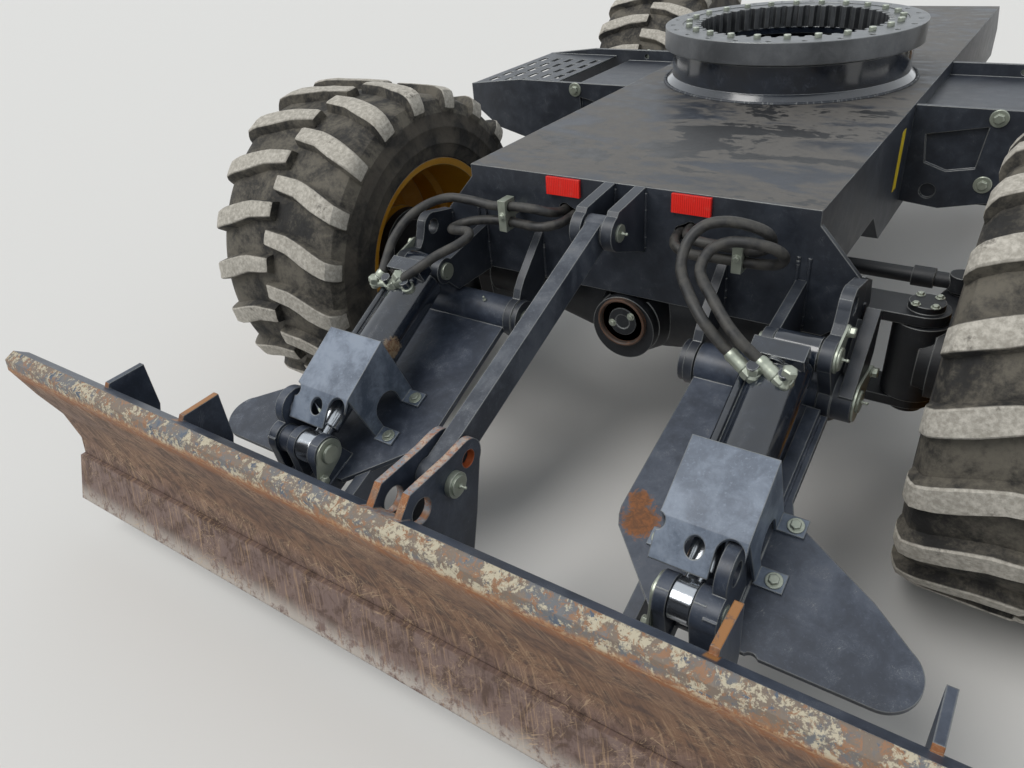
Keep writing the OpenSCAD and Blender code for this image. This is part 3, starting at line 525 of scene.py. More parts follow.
def weathering_group() -> bpy.types.NodeTree:
    """Painted steel in use: blotches, dust, chipped and rusted edges, scratches and rounded edges.

    An edge is where the normal of a bevelled surface leaves the true one.

    Returns:
        The group, with colours and shares as its inputs.
    """
    n, g, out = new_group("weathered_paint", {
        "Paint": (0.05, 0.06, 0.07), "Pale": (0.2, 0.22, 0.24), "Dust": (0.3, 0.27, 0.23),
        "Bare": (0.25, 0.25, 0.25), "Rust": (0.18, 0.07, 0.03), "Blotches": 0.4, "Dusty": 0.3,
        "Edge Wear": 0.5, "Rusty": 0.1, "Scratches": 0.3, "Gloss": 0.45, "Edge Radius": 0.004,
        "Speckle": 0.3, "Relief": 0.3},
        {"Color": "Color", "Roughness": "Float", "Metallic": "Float", "Normal": "Vector"})
    where = n.place()
    true = n.normal()
    rounded = n.add("ShaderNodeBevel", {"Radius": g["Edge Radius"]}, samples=6).outputs[0]
    lean = n.add("ShaderNodeVectorMath", {0: true, 1: rounded}, operation="DOT_PRODUCT").outputs["Value"]
    rim = n.step(lean, 0.995, 0.93)
    broad = n.noise(where, 5.0, 5.0, 0.62, 0.6)
    middle = n.noise(where, 22.0, 6.0, 0.68, 0.4)
    fine = n.noise(where, 160.0, 4.0, 0.7)
    grit = n.noise(where, 620.0, 2.0, 0.6)
    blotch = n.times(n.step(n.weighed(broad, 0.55, middle, 0.45), 0.40, 0.62), g["Blotches"])
    colour = n.mix(blotch, g["Paint"], g["Pale"])
    colour = n.mix(n.times(n.step(fine, 0.56, 0.70), g["Speckle"]), colour, g["Pale"])

    runs = [((turn * 0.4, turn, turn * 1.3), (seed,) * 3) for turn, seed in ((0.5, 0.0), (-0.9, 3.1), (1.6, 7.7))]
    scratch = n.times(n.scratches(where, runs, (150.0, 4.0, 150.0), (0.006, 0.001)),
                      n.times(n.step(middle, 0.5, 0.66), g["Scratches"]))
    colour = n.mix(scratch, colour, g["Bare"])
    chip_at = n.minus(0.86, n.times(g["Edge Wear"], 0.55))
    chip = n.step(n.weighed(rim, 0.62, fine, 0.55), chip_at, n.plus(chip_at, 0.07))
    colour = n.mix(n.times(chip, n.step(g["Edge Wear"], 0.0, 0.1)), colour, g["Bare"])

    rust_at = n.minus(0.92, n.times(g["Rusty"], 0.62))
    patches = n.weighed(n.noise(where, 9.0, 8.0, 0.72, 0.8), 0.7, middle, 0.5)
    rust = n.step(n.weighed(rim, 0.18, patches, 0.8), rust_at, n.plus(rust_at, 0.06))
    rust = n.times(rust, n.step(g["Rusty"], 0.0, 0.05))
    colour = n.mix(rust, colour, n.mix(fine, g["Rust"], (0.30, 0.13, 0.05)))

    dust_at = n.minus(0.92, n.times(g["Dusty"], 0.6))
    lying = n.plus(0.35, n.times(n.step(n.part(true, "Z"), 0.25, 0.95), 0.65))
    dust = n.step(n.weighed(middle, 0.5, broad, 0.5), n.minus(dust_at, 0.25), n.plus(dust_at, 0.15))
    dust = n.times(n.times(dust, lying), n.times(g["Dusty"], n.step(grit, 0.25, 0.7, 0.75, 1.0)))
    colour = n.mix(dust, colour, g["Dust"])

    rough = n.plus(g["Gloss"], n.times(n.minus(middle, 0.5), 0.3))
    rough = n.plus(rough, n.times(n.most(dust, rust), 0.35))
    rough = n.math("MINIMUM", n.most(rough, LEAST_ROUGHNESS), 0.95)
    cut = n.most(chip, scratch)
    height = n.minus(n.weighed(fine, 0.5, grit, 0.25), n.times(cut, 0.6))
    height = n.plus(height, n.times(rust, n.times(fine, 1.2)))
    n.feed(out, {"Color": colour, "Roughness": rough,
                 "Metallic": n.times(n.times(cut, n.minus(1.0, rust)), 0.35),
                 "Normal": n.bump(g["Relief"], 0.0012, height, rounded)})
    return n.tree


@dataclass(frozen=True)
class Finish:
    """One painted or bare steel finish, as values for the weathering group."""

    name: str
    paint: str
    pale: str
    dust: str = "8d8478"
    bare: str = "8b8d8c"
    rust: str = "6b3a20"
    blotches: float = 0.4
    dusty: float = 0.3
    edge_wear: float = 0.4
    rusty: float = 0.0
    scratches: float = 0.3
    gloss: float = 0.45
    edge_radius: float = 0.004
    speckle: float = 0.3
    relief: float = 0.3
    metal: float = 0.0
    coat: float = 0.0

    def worn(self, n: Nodes, group: bpy.types.NodeTree) -> bpy.types.NodeOutputs:
        """Add the weathering group to a material's nodes, with this finish's colours and shares.

        Args:
            n: The material's node calls.
            group: The weathering group, whose inputs are named as the fields are.

        Returns:
            The outputs of the group's node.
        """
        node = n.tree.nodes.new("ShaderNodeGroup")
        node.node_tree = group
        for socket in node.inputs:
            value = getattr(self, socket.name.lower().replace(" ", "_"))
            socket.default_value = (*paint(value), 1.0) if isinstance(value, str) else value
        return node.outputs

    def lacquer(self, shader: bpy.types.Node) -> None:
        """Set the coat on the shader's own sockets."""
        shader.inputs["Coat Weight"].default_value = self.coat
        shader.inputs["Coat Roughness"].default_value = COAT_ROUGHNESS

    def build(self, group: bpy.types.NodeTree) -> bpy.types.Material:
        """Make the material: the group's colour, roughness, metal and normal on one Principled shader.

        Args:
            group: The weathering group.

        Returns:
            The material.
        """
        material, n, shader = new_material(self.name)
        worn = self.worn(n, group)
        metal = n.most(worn["Metallic"], self.metal) if self.metal else worn["Metallic"]
        n.feed(shader, {"Base Color": worn["Color"], "Roughness": worn["Roughness"], "Metallic": metal,
                        "Normal": worn["Normal"]})
        self.lacquer(shader)
        return material


FINISHES = {finish.name: finish for finish in (
    Finish("frame_paint", "23272f", "3d434d", dust="6f6a63", blotches=0.5, dusty=0.28, edge_wear=0.35,
           scratches=0.35, gloss=0.42, speckle=0.25),
    Finish("linkage_paint", "2c323e", "525b6b", dust="7d766c", blotches=0.55, dusty=0.30, edge_wear=0.42,
           scratches=0.6, gloss=0.39, speckle=0.35),
    Finish("guard_paint", "4d5868", "8893a3", dust="a39c90", blotches=0.8, dusty=0.22, edge_wear=0.45,
           scratches=0.5, gloss=0.42, speckle=0.5),
    Finish("link_paint", "2b303a", "5b626d", dust="8a857d", blotches=0.55, dusty=0.4, edge_wear=0.6,
           scratches=0.5, speckle=0.5),
    Finish("axle_black", "14161a", "2b2e33", dust="625b52", blotches=0.4, dusty=0.3, edge_wear=0.2,
           scratches=0.2, gloss=0.5, relief=0.5),
    Finish("cylinder_black", "171c25", "303a4b", dust="6f6a62", blotches=0.3, dusty=0.10, edge_wear=0.2,
           scratches=0.3, gloss=0.15, speckle=0.1, relief=0.1, coat=0.9),
    Finish("rim_ochre", "b98212", "d6a130", dust="8f8064", blotches=0.4, dusty=0.4, edge_wear=0.3,
           rusty=0.1, gloss=0.45),
    Finish("ring_steel", "5b5d60", "77797c", dust="57534d", blotches=0.5, dusty=0.25, edge_wear=0.3,
           gloss=0.35, metal=0.7),
    Finish("zinc", "9aa092", "b7bcae", dust="8e887b", bare="c3c8bd", blotches=0.6, dusty=0.25,
           edge_wear=0.4, rusty=0.1, gloss=0.33, metal=0.55, speckle=0.4, edge_radius=0.0015),
    Finish("strip_yellow", "dfc21a", "e9d560", dust="8f8a6a", blotches=0.2, dusty=0.25, edge_wear=0.1,
           scratches=0.2, gloss=0.4, edge_radius=0.0005),
    Finish("rusty_cast", "3a322d", "6b5142", dust="7a6550", rust="7a4426", blotches=0.7, dusty=0.3,
           edge_wear=0.3, rusty=0.62, gloss=0.6, relief=0.6, edge_radius=0.002),
    Finish("chrome_rod", "b4b8bd", "cfd2d6", blotches=0.2, dusty=0.05, edge_wear=0.0, scratches=0.1,
           gloss=0.16, metal=0.95, relief=0.05),
)}


@dataclass(frozen=True)
class TyreRubber:
    """Tyre rubber: black in the voids, beige dust on the walls, pale scuffed faces on the lugs."""

    name: str = "tyre_rubber"
    black: Codes = ("1c1b1a", "403c37")
    wall_dust: str = "5a544b"
    mud: Codes = ("57534a", "7d776b")
    lug_face: Codes = ("9a958b", "c4bfb5")

    def build(self) -> bpy.types.Material:
        """Make the material, which reads the marks of the tread: raised on the lugs, wall on the side.

        Returns:
            The material.
        """
        material, n, shader = new_material(self.name)
        where, raised, wall = n.place(), n.mark("raised"), n.mark("wall")
        broad, fine = n.noise(where, 9.0, 6.0, 0.65, 0.4), n.noise(where, 90.0, 6.0, 0.7)
        colour = n.mix(n.step(broad, 0.35, 0.7), *self.black)
        colour = n.mix(n.times(wall, n.step(broad, 0.38, 0.66, 0.0, 0.7)), colour, self.wall_dust)
        voids = n.times(n.minus(1.0, wall), n.step(n.weighed(broad, 0.7, fine, 0.3), 0.40, 0.60))
        colour = n.mix(n.times(voids, 0.75), colour, n.mix(fine, *self.mud))
        shown = n.times(n.step(raised, 0.80, 0.90), n.step(n.plus(broad, n.times(fine, 0.35)), 0.40, 0.56))
        colour = n.mix(shown, colour, n.mix(n.step(fine, 0.35, 0.7), *self.lug_face))
        n.feed(shader, {"Base Color": colour, "Normal": n.bump(0.5, 0.002, fine),
                        "Roughness": n.step(fine, 0.2, 0.8, 0.72, 0.95)})
        return material


@dataclass(frozen=True)
class HoseRubber:
    """Dusty black hose."""

    name: str = "hose_rubber"
    black: Codes = ("1c1c1d", "45433f")

    def build(self) -> bpy.types.Material:
        """Make the material.

        Returns:
            The material.
        """
        material, n, shader = new_material(self.name)
        where = n.place()
        broad, fine = n.noise(where, 30.0, 5.0, 0.65), n.noise(where, 400.0, 3.0, 0.6)
        n.feed(shader, {"Base Color": n.mix(n.step(broad, 0.35, 0.7), *self.black),
                        "Normal": n.bump(0.3, 0.0006, fine),
                        "Roughness": n.step(broad, 0.2, 0.8, 0.42, 0.7)})
        return material


@dataclass(frozen=True)
class RedLens:
    """Red lens with fine upright ribs, dusty in places, with painted shade in the troughs between the ribs."""

    name: str = "red_lens"
    # the first red is painted shade in the troughs between the ribs, the second the red of their crests
    red: Codes = ("c01412", "f03026")
    dust: str = "c8705f"
    rib_waves: float = 620.0

    def build(self) -> bpy.types.Material:
        """Make the material; a rib's height is |sin(rib_waves * x)|, and the red is darker where it is low: painted
        shade in the troughs.

        Returns:
            The material.
        """
        material, n, shader = new_material(self.name)
        where = n.place()
        ribs = n.size_of(n.math("SINE", n.times(n.part(where, "X"), self.rib_waves)))
        dusty = n.step(n.noise(where, 60.0, 4.0, 0.6), 0.5, 0.8, 0.0, 0.25)
        # painted shade: the darker red follows the troughs between the ribs, the brighter red their crests
        colour = n.mix(dusty, n.mix(n.step(ribs, 0.0, 0.5), *self.red), self.dust)
        n.feed(shader, {"Base Color": colour, "Normal": n.bump(0.4, 0.0008, ribs)})
        shader.inputs["Roughness"].default_value = 0.22
        shader.inputs["Coat Weight"].default_value = 0.5
        return material


class BladeGround:
    """The places, ways and noises that the blade's masks and colours share, as sockets."""

    def __init__(self, n: Nodes) -> None:
        """Make each socket once.

        Args:
            n: The node calls of the blade's material.
        """
        self.n = n
        self.where, true = n.place(), n.normal()
        self.x, self.y, self.z = n.size_of(n.part(self.where, "X")), n.part(self.where, "Y"), n.part(self.where, "Z")
        self.ahead, self.aside = n.part(true, "Y"), n.size_of(n.part(true, "X"))
        self.broad = n.noise(self.where, 6.0, 5.0, 0.6, 0.5)
        self.middle = n.noise(self.where, 26.0, 6.0, 0.7, 0.6)
        self.fine = n.noise(self.where, 120.0, 5.0, 0.7)
        self.grit = n.noise(self.where, 500.0, 2.0, 0.6)
        slanting = n.mapped(self.where, turn=(0.0, 0.30, 0.0))
        self.streak = n.noise(n.mapped(slanting, (190.0, 14.0, 9.0)), 1.0, 3.0, 0.6)


@dataclass(frozen=True)
class BladeScoured:
    """Blade: worn paint behind, scoured rust in front, and a lip of cream, blue-grey and orange patches.

    A pair is the place in metres at which a mask is nothing and at which it is whole.
    """

    base: Finish = FINISHES["linkage_paint"]
    name: str = "blade_scoured"
    plate_y: Pair = (-1.852, -1.862)
    strip_y: Pair = (-1.884, -1.888)
    strip_z: Pair = (0.300, 0.290)
    lip_y: Pair = (-1.925, -1.932)
    lip_z: Pair = (0.546, 0.552)
    foot_z: Pair = (0.33, 0.25)
    under_lip_z: Pair = (0.505, 0.545)
    scuff_z: Pair = (0.175, 0.122)
    lip_foot_z: Pair = (0.588, 0.572)
    end_x: Pair = (1.235, 1.238)
    lug_x: Pair = (0.046, 0.044)
    lug_y: Pair = (-1.945, -1.938)
    lug_z: Pair = (0.40, 0.46)
    lug_hole: Place = (0.0, -1.732365, 0.591630)
    lug_hole_r: Pair = (0.0195, 0.0183)
    gusset_inner_x: Pair = (0.585, 0.589)
    gusset_outer_x: Pair = (0.610, 0.606)
    gusset_y: Pair = (-1.935, -1.925)
    gusset_z: Pair = (0.50, 0.51)

    def front(self, g: BladeGround) -> Socket:
        """Mask of the moldboard's face and of the cutting edge."""
        plate = g.n.times(g.n.step(g.y, *self.plate_y), g.n.step(g.ahead, -0.10, -0.35))
        return g.n.most(plate, g.n.times(g.n.step(g.y, *self.strip_y), g.n.step(g.z, *self.strip_z)))

    def bevel(self, g: BladeGround) -> Socket:
        """Mask of the lip's sloping face."""
        lip = g.n.times(g.n.step(g.y, *self.lip_y), g.n.step(g.z, *self.lip_z))
        return g.n.times(lip, g.n.step(g.ahead, 0.10, -0.10))

    def earth(self, g: BladeGround) -> Socket:
        """Colour of the scoured front: rust and earth in streaks, scuffed pale low down, orange under the lip.

        Args:
            g: What the blade's masks share.

        Returns:
            The colour.
        """
        n = g.n
        colour = n.mix(n.step(g.broad, 0.35, 0.65), "6e5240", "7e5f49")
        colour = n.mix(n.step(n.plus(g.z, n.times(g.middle, 0.05)), *self.foot_z), colour, "6f5c56")
        under = n.times(n.step(g.z, *self.under_lip_z), n.step(g.middle, 0.36, 0.56))
        scuff = n.times(n.step(g.z, *self.scuff_z), n.step(n.plus(g.middle, n.times(g.fine, 0.4)), 0.56, 0.74))
        runs = [((0.0, turn, 0.0), (seed, 0.0, seed)) for turn, seed in ((0.55, 0.0), (-0.35, 5.0), (1.1, 9.0))]
        scratch = n.times(n.scratches(g.where, runs, (3.0, 60.0, 90.0), (0.008, 0.002)),
                          n.step(g.broad, 0.44, 0.60))
        for mask, share, code in ((n.step(g.middle, 0.44, 0.62), 1.0, "54423a"),
                                  (n.step(g.streak, 0.54, 0.66), 0.55, "a08468"),
                                  (n.step(g.streak, 0.45, 0.34), 0.45, "4a3a31"),
                                  (under, 0.75, "9b6135"), (scuff, 0.8, "b7b0a8"), (scratch, 0.6, "b39a7c")):
            colour = n.mix(n.times(mask, share), colour, code)
        return colour

    def skin(self, g: BladeGround) -> Socket:
        """Colour of the lip: grey and brown grounds under cream, rust and blue-grey patches, orange below.

        Args:
            g: What the blade's masks share.

        Returns:
            The colour.
        """
        n = g.n
        colour = n.mix(n.step(n.noise(g.where, 14.0, 5.0, 0.65, 0.6), 0.46, 0.58), "76695d", "67696c")
        colour = n.mix(n.step(n.weighed(g.middle, 0.6, g.fine, 0.4), 0.50, 0.55), colour, "b9b09a")
        colour = n.mix(n.step(n.noise(g.where, 48.0, 8.0, 0.78, 0.8), 0.52, 0.58), colour, "8d6a50")
        colour = n.mix(n.step(n.noise(g.where, 36.0, 6.0, 0.70, 0.5), 0.60, 0.63), colour, "535d6b")
        low = n.step(n.plus(g.z, n.times(g.middle, 0.030)), *self.lip_foot_z)
        return n.mix(n.times(low, 0.85), colour, n.mix(n.step(g.fine, 0.4, 0.6), "945f38", "b08760"))

    def rubbed(self, g: BladeGround, colour: Socket, front: Socket) -> Socket:
        """Wear on the blade's ends, on its lug's rim and hole, and on the gussets' edges behind.

        Args:
            g: What the blade's masks share.
            colour: The blade's colour so far.
            front: Mask of the face, which keeps the lug's and the gussets' wear off it.

        Returns:
            The colour with the wear on it.
        """
        n = g.n
        behind = n.minus(1.0, front)
        edge_on = n.step(g.aside, 0.5, 0.3)
        end = n.times(n.step(g.aside, 0.7, 0.9), n.step(g.x, *self.end_x))
        colour = n.mix(n.times(end, n.step(g.middle, 0.36, 0.5)), colour, "6d5140")
        lug = n.times(n.step(g.x, *self.lug_x), n.times(n.step(g.y, *self.lug_y), n.step(g.z, *self.lug_z)))
        rim = n.times(n.times(lug, behind), edge_on)
        worn_edge = n.mix(n.step(g.middle, 0.40, 0.58), "b59f8c", "7f8288")
        worn_edge = n.mix(n.step(g.fine, 0.50, 0.60), worn_edge, "9a6a50")
        colour = n.mix(n.times(rim, 0.92), colour, worn_edge)
        hole = n.add("ShaderNodeVectorMath", {0: g.where, 1: self.lug_hole}, operation="SUBTRACT").outputs[0]
        across, along = n.math("POWER", n.part(hole, "Y"), 2.0), n.math("POWER", n.part(hole, "Z"), 2.0)
        away = n.math("SQRT", n.plus(across, along))
        colour = n.mix(n.times(lug, n.step(away, *self.lug_hole_r)), colour, "a4532c")
        gusset = n.times(n.times(n.step(g.x, *self.gusset_inner_x), n.step(g.x, *self.gusset_outer_x)),
                         n.times(n.step(g.y, *self.gusset_y), edge_on))
        gusset = n.times(gusset, n.times(behind, n.step(g.z, *self.gusset_z)))
        return n.mix(n.times(gusset, n.step(g.middle, 0.34, 0.5)), colour, "9a6a3c")

    def build(self, group: bpy.types.NodeTree) -> bpy.types.Material:
        """Make the material, which tells front, lip and foot apart by place and by the way a face looks.

        Args:
            group: The weathering group.

        Returns:
            The material.
        """
        material, n, shader = new_material(self.name)
        worn, g = self.base.worn(n, group), BladeGround(n)
        front, bevel = self.front(g), self.bevel(g)
        colour = n.mix(bevel, n.mix(front, worn["Color"], self.earth(g)), self.skin(g))
        rusty = n.most(front, bevel)
        rough = n.plus(n.times(rusty, n.step(g.middle, 0.3, 0.7, 0.55, 0.85)),
                       n.times(n.minus(1.0, rusty), worn["Roughness"]))
        height = n.plus(n.times(g.fine, 0.6), n.weighed(g.grit, 0.3, g.streak, 0.35))
        n.feed(shader, {"Base Color": self.rubbed(g, colour, front), "Roughness": rough,
                        "Metallic": worn["Metallic"],
                        "Normal": n.bump(n.times(rusty, 0.55), 0.0016, height, worn["Normal"])})
        return material


@dataclass(frozen=True)
class FrameDeck:
    """Frame paint whose flat top holds dried mud in patches and darker wet ones."""

    base: Finish = FINISHES["frame_paint"]
    name: str = "frame_deck"
    top_z: Pair = (0.878, 0.884)
    soil: Codes = ("504d4a", "6c6862")
    damp: str = "15171b"

    def build(self, group: bpy.types.NodeTree) -> bpy.types.Material:
        """Make the material.

        Args:
            group: The weathering group.

        Returns:
            The material.
        """
        material, n, shader = new_material(self.name)
        worn, where = self.base.worn(n, group), n.place()
        top = n.times(n.step(n.part(n.normal(), "Z"), 0.9, 0.97), n.step(n.part(where, "Z"), *self.top_z))
        slow = n.noise(n.mapped(where, (2.6, 5.2, 1.0)), 1.0, 6.0, 0.58, 1.2)
        middle = n.noise(n.mapped(where, (16.0, 26.0, 1.0)), 1.0, 5.0, 0.62, 0.8)
        mud = n.step(n.weighed(slow, 0.8, middle, 0.25), 0.42, 0.54)
        wet = n.step(n.weighed(slow, 0.75, middle, 0.35), 0.598, 0.622)
        share = n.times(top, n.times(mud, 0.85))
        colour = n.mix(share, worn["Color"], n.mix(n.noise(where, 300.0, 3.0, 0.7), *self.soil))
        colour = n.mix(n.times(top, n.times(wet, 0.9)), colour, self.damp)
        rough = n.minus(n.plus(worn["Roughness"], n.times(share, 0.25)), n.times(n.times(top, wet), 0.22))
        n.feed(shader, {"Base Color": colour, "Roughness": n.most(rough, LEAST_ROUGHNESS),
                        "Metallic": worn["Metallic"], "Normal": worn["Normal"]})
        return material


@dataclass(frozen=True)
class Spotted:
    """A finish with ragged patches of rust or mud on one node: each a ball whose edge noise breaks up."""

    node: str
    base: Finish
    tint: str
    balls: tuple[tuple[Place, float], ...]
    dark: str = "6b4a33"

    @property
    def name(self) -> str:
        """The name of the material."""
        return f"{self.node}_spotted"

    def build(self, group: bpy.types.NodeTree) -> bpy.types.Material:
        """Make the material.

        Args:
            group: The weathering group.

        Returns:
            The material.
        """
        material, n, shader = new_material(self.name)
        worn, where = self.base.worn(n, group), n.place()
        ragged = n.noise(where, 70.0, 6.0, 0.75, 0.6)
        colour, rough = worn["Color"], worn["Roughness"]
        for centre, radius in self.balls:
            away = n.add("ShaderNodeVectorMath", {0: where, 1: centre}, operation="DISTANCE").outputs["Value"]
            share = n.step(n.plus(n.math("DIVIDE", away, radius), n.times(ragged, 1.6)), 1.75, 1.45)
            colour = n.mix(share, colour, n.mix(n.step(ragged, 0.4, 0.6), self.tint, self.dark))
            rough = n.most(rough, n.times(share, 0.8))
        n.feed(shader, {"Base Color": colour, "Roughness": rough, "Metallic": worn["Metallic"],
                        "Normal": worn["Normal"]})
        self.base.lacquer(shader)
        return material


SPOTTED = (
    Spotted("arm_right", FINISHES["linkage_paint"], "8d5b38",
            (((0.302, -1.535, 0.394), 0.046), ((0.283, -1.496, 0.409), 0.030))),
    Spotted("barrel_left", FINISHES["cylinder_black"], "8f7d62", (((-0.414, -1.441, 0.561), 0.032),)),
    Spotted("barrel_right", FINISHES["cylinder_black"], "8f7d62", (((0.520, -1.480, 0.560), 0.018),)),
)
SLOT_FINISH = {"frame": "frame_paint", "linkage": "linkage_paint", "guard": "guard_paint",
               "blade": "blade_scoured", "edge": "blade_scoured", "axle": "axle_black", "rim": "rim_ochre",
               "tyre": "tyre_rubber", "cylinder": "cylinder_black", "bright": "chrome_rod", "zinc": "zinc",
               "hose": "hose_rubber", "race": "ring_steel", "reflector": "red_lens"}
NODE_FINISH = {"chassis_frame": "frame_deck", "top_link": "link_paint"} | {s.node: s.name for s in SPOTTED}


def all_finishes() -> Dress:
    """Make every material.

    Returns:
        The materials by name.
    """
    group = weathering_group()
    dress = {f.name: f.build(group) for f in (*FINISHES.values(), BladeScoured(), FrameDeck(), *SPOTTED)}
    return dress | {f.name: f.build() for f in (TyreRubber(), HoseRubber(), RedLens())}


@dataclass(frozen=True)
class Leaning:
    """A frame that leans about the side axis: y runs to the rear along the piece and z stands off it."""

    y: float
    z: float
    lean: float = 0.0

    def axes(self) -> np.ndarray:
        """Its three axes as rows."""
        c, s = math.cos(math.radians(self.lean)), math.sin(math.radians(self.lean))
        return np.array([[1, 0, 0], [0, c, s], [0, -s, c]])

    def point(self, x: float, y: float, z: float) -> np.ndarray:
        """A point of this frame in the frame of the part."""
        return np.array([0, self.y, self.z]) + np.array([x, y, z]) @ self.axes()


PLATE_Y = -1.009635  # face of the frame's front plate
UNIT_X = 0.470  # middle of an arm and its cylinder
SLEW_Y = 0.160365  # axis of the slewing ring
AXLE_Z = 0.510  # axis of the wheels
NOSE_Z = 0.529  # axis of the front axle's pivot
ARM = Leaning(-1.139635, 0.540, 21.3)  # from the arm's upper pin
ARM_END_Y = -1.784365  # the arm's lower pin
CYLINDER = Leaning(-1.204635, 0.667, 27.91)  # from the barrel's pin
ROD_PIN = Leaning(-1.695306, 0.407072, 21.3)  # from the rod's pin


@dataclass(frozen=True)
class Trim:
    """Blank yellow strip on the frame's side, and the ring and cap on the front axle's nose."""

    strip: tuple[Place, Place] = ((0.4500, -0.236, 0.668), (0.4509, -0.192, 0.838))
    nose: Place = (0.0, Axle.FRONT.value - 0.182, NOSE_Z)
    ring: Profile = ((-0.0010, 0.0560), (-0.0100, 0.0575), (-0.0135, 0.0610), (-0.0120, 0.0650),
                     (-0.0010, 0.0662))
    cap: Profile = ((0.0015, 0.0385), (-0.0020, 0.0385), (-0.0035, 0.0370), (-0.0035, 0.0200),
                    (-0.0020, 0.0190))

    def fit(self, dress: Dress) -> None:
        """Make the three pieces.

        Args:
            dress: The materials.
        """
        new_object("side_strip", box_shell(*self.strip), dress["strip_yellow"], "chassis", 30)
        for name, profile, sides, finish in (("ring", self.ring, 64, "rusty_cast"),
                                             ("cap", self.cap, 48, "axle_black")):
            shell = turned_shell(profile, sides, Axis.Y).outward().moved(self.nose)
            new_object(f"axle_nose_{name}", shell, dress[finish], "chassis", 30)


@dataclass(frozen=True)
class Tyre:
    """Worn block tyre: two halves, each a closed ring whose columns follow the edges of its lugs.

    The section of one half runs from the middle out and back inside, as (width, radius) in millimetres. A row
    under the lugs has the carcass first and the lugs' top after it.
    """

    lugs: int = 20
    columns_between: int = 5
    middle: tuple[float, float] = (-6, 478)
    raised: tuple[tuple[float, ...], ...] = (
        (-6, 479.5, -6, 508.5), (4, 480, 4, 510), (45, 480, 45, 509.8), (80, 480, 80, 509.2),
        (115, 479.5, 115, 508.5), (150, 479, 150, 508), (187, 478, 187.5, 507), (207, 472, 212, 502.5),
        (221.5, 466, 229.5, 496), (231, 452, 239.5, 482), (237.5, 438, 246.5, 467),
        (239.5, 434, 247.5, 449), (240.5, 432, 246.5, 439))
    wall: Profile = (
        (241, 430.5), (242.5, 415), (244.5, 396), (245.8, 393), (245.8, 389), (244.2, 386), (244.0, 368),
        (243.0, 352), (244.2, 349), (244.2, 343), (241.5, 340), (239.0, 326), (236.5, 312), (233.5, 302))
    bead: Profile = ((215.5, 300), (217.5, 286.8), (190, 281.5), (-6, 281.5))
    wheel_x: float = 0.980
    tread_r: float = 0.495
    least_lug: float = 0.90
    chip: float = 0.0006
    seed: int = 11

    def half(self, side: int, rng: np.random.Generator) -> Shell:
        """One half of the tyre about the z axis.

        The lug's two edges are lines q(w) across the tread, and a column keeps its share between them:
        the angle of a point is (lug + side / 4) * 2 pi / lugs + q / tread_r.

        Args:
            side: 1 for the outer half, -1 for the inner one.
            rng: Source of the wear.

        Returns:
            The closed half, with its marks.
        """
        table = [(*self.middle, *self.middle), *self.raised, *((*p, *p) for p in (*self.wall, *self.bead))]
        rows = np.array(table) / 1000
        w = rows[:, 2]
        high = np.interp(w, [-0.006, 0.080, 0.150, 0.260], [0.022, 0.034, 0.062, 0.096])
        low = np.interp(w, [-0.006, 0.090, 0.160, 0.260], [-0.026, -0.020, 0.002, 0.040])
        pitch = 2 * math.pi / self.lugs
        # Columns of a lug: share of the way across it, shift along the tread in metres, share of its height.
        on_lug = [(0, -0.005, 0), (0, 0.0015, 0.86), (0, 0.006, 1), (0.35, 0, 1), (0.65, 0, 1), (1, -0.006, 1),
                  (1, -0.0015, 0.86), (1, 0.005, 0)]
        angle = [(low + (high - low) * share + shift) / self.tread_r for share, shift, _ in on_lug]
        first, last = angle[0] + pitch, angle[-1]
        gaps = self.columns_between + 1
        angle = np.array(angle + [last + (first - last) * k / gaps for k in range(1, gaps)])
        lift = np.array([f for _, _, f in on_lug] + [0.0] * self.columns_between)
        wear = rng.uniform(self.least_lug, 1.0, self.lugs)
        f = (lift[None, :] * wear[:, None]).reshape(-1)
        a = (angle[None] + (np.arange(self.lugs) * pitch)[:, None, None] + side * pitch / 4).reshape(-1, len(rows))
        row_lift = np.ones(len(rows))  # the lug's first and last row stay lower
        row_lift[[1, len(self.raised)]] = 0.93, 0.6
        share = f[:, None] * row_lift[None, :]
        across = rows[None, :, 0] + (rows[:, 2] - rows[:, 0])[None] * share
        radius = rows[None, :, 1] + (rows[:, 3] - rows[:, 1])[None] * share
        radius = radius + rng.normal(0, self.chip, radius.shape) * (share > 0.8)
        points = np.stack([radius * np.cos(a), radius * np.sin(a), side * across], -1)
        grown = (rows[:, 3] - rows[:, 1] > 0.004)[None, :] & (share > 0)
        wall = np.zeros(len(rows))
        wall[1 + len(self.raised):1 + len(self.raised) + len(self.wall)] = 1.0
        marks = {"raised": np.where(grown, share, 0.0).ravel(),
                 "wall": np.broadcast_to(wall, radius.shape).ravel().copy()}
        faces = grid_faces(len(f), len(rows), wrap_rows=True, wrap_cols=True)
        return Shell(points.reshape(-1, 3), [faces], marks).outward()

    def fit(self, axle: Axle, side: Side, dress: Dress) -> None:
        """Put a tyre on one wheel in place of its plain solid.

        Args:
            axle: The wheel's axle.
            side: The wheel's side.
            dress: The materials.
        """
        rng = np.random.default_rng(self.seed + 2 * (axle is Axle.REAR) + (side is Side.LEFT))
        both = joined([self.half(1, rng), self.half(-1, rng)])
        p = both.points
        upright = np.stack([p[:, 2] + self.wheel_x, p[:, 1] + axle.value, AXLE_Z - p[:, 0]], 1)
        tread = Shell(upright, both.faces, both.marks).outward()
        if side is Side.LEFT:
            tread = tread.mirrored()
        wheel = f"{axle.tag}_{side.tag}"
        piece = new_object(f"tyre_{wheel}_tread", tread, dress["tyre_rubber"], f"wheel_{wheel}", 32)
        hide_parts(f"tyre_{wheel}")


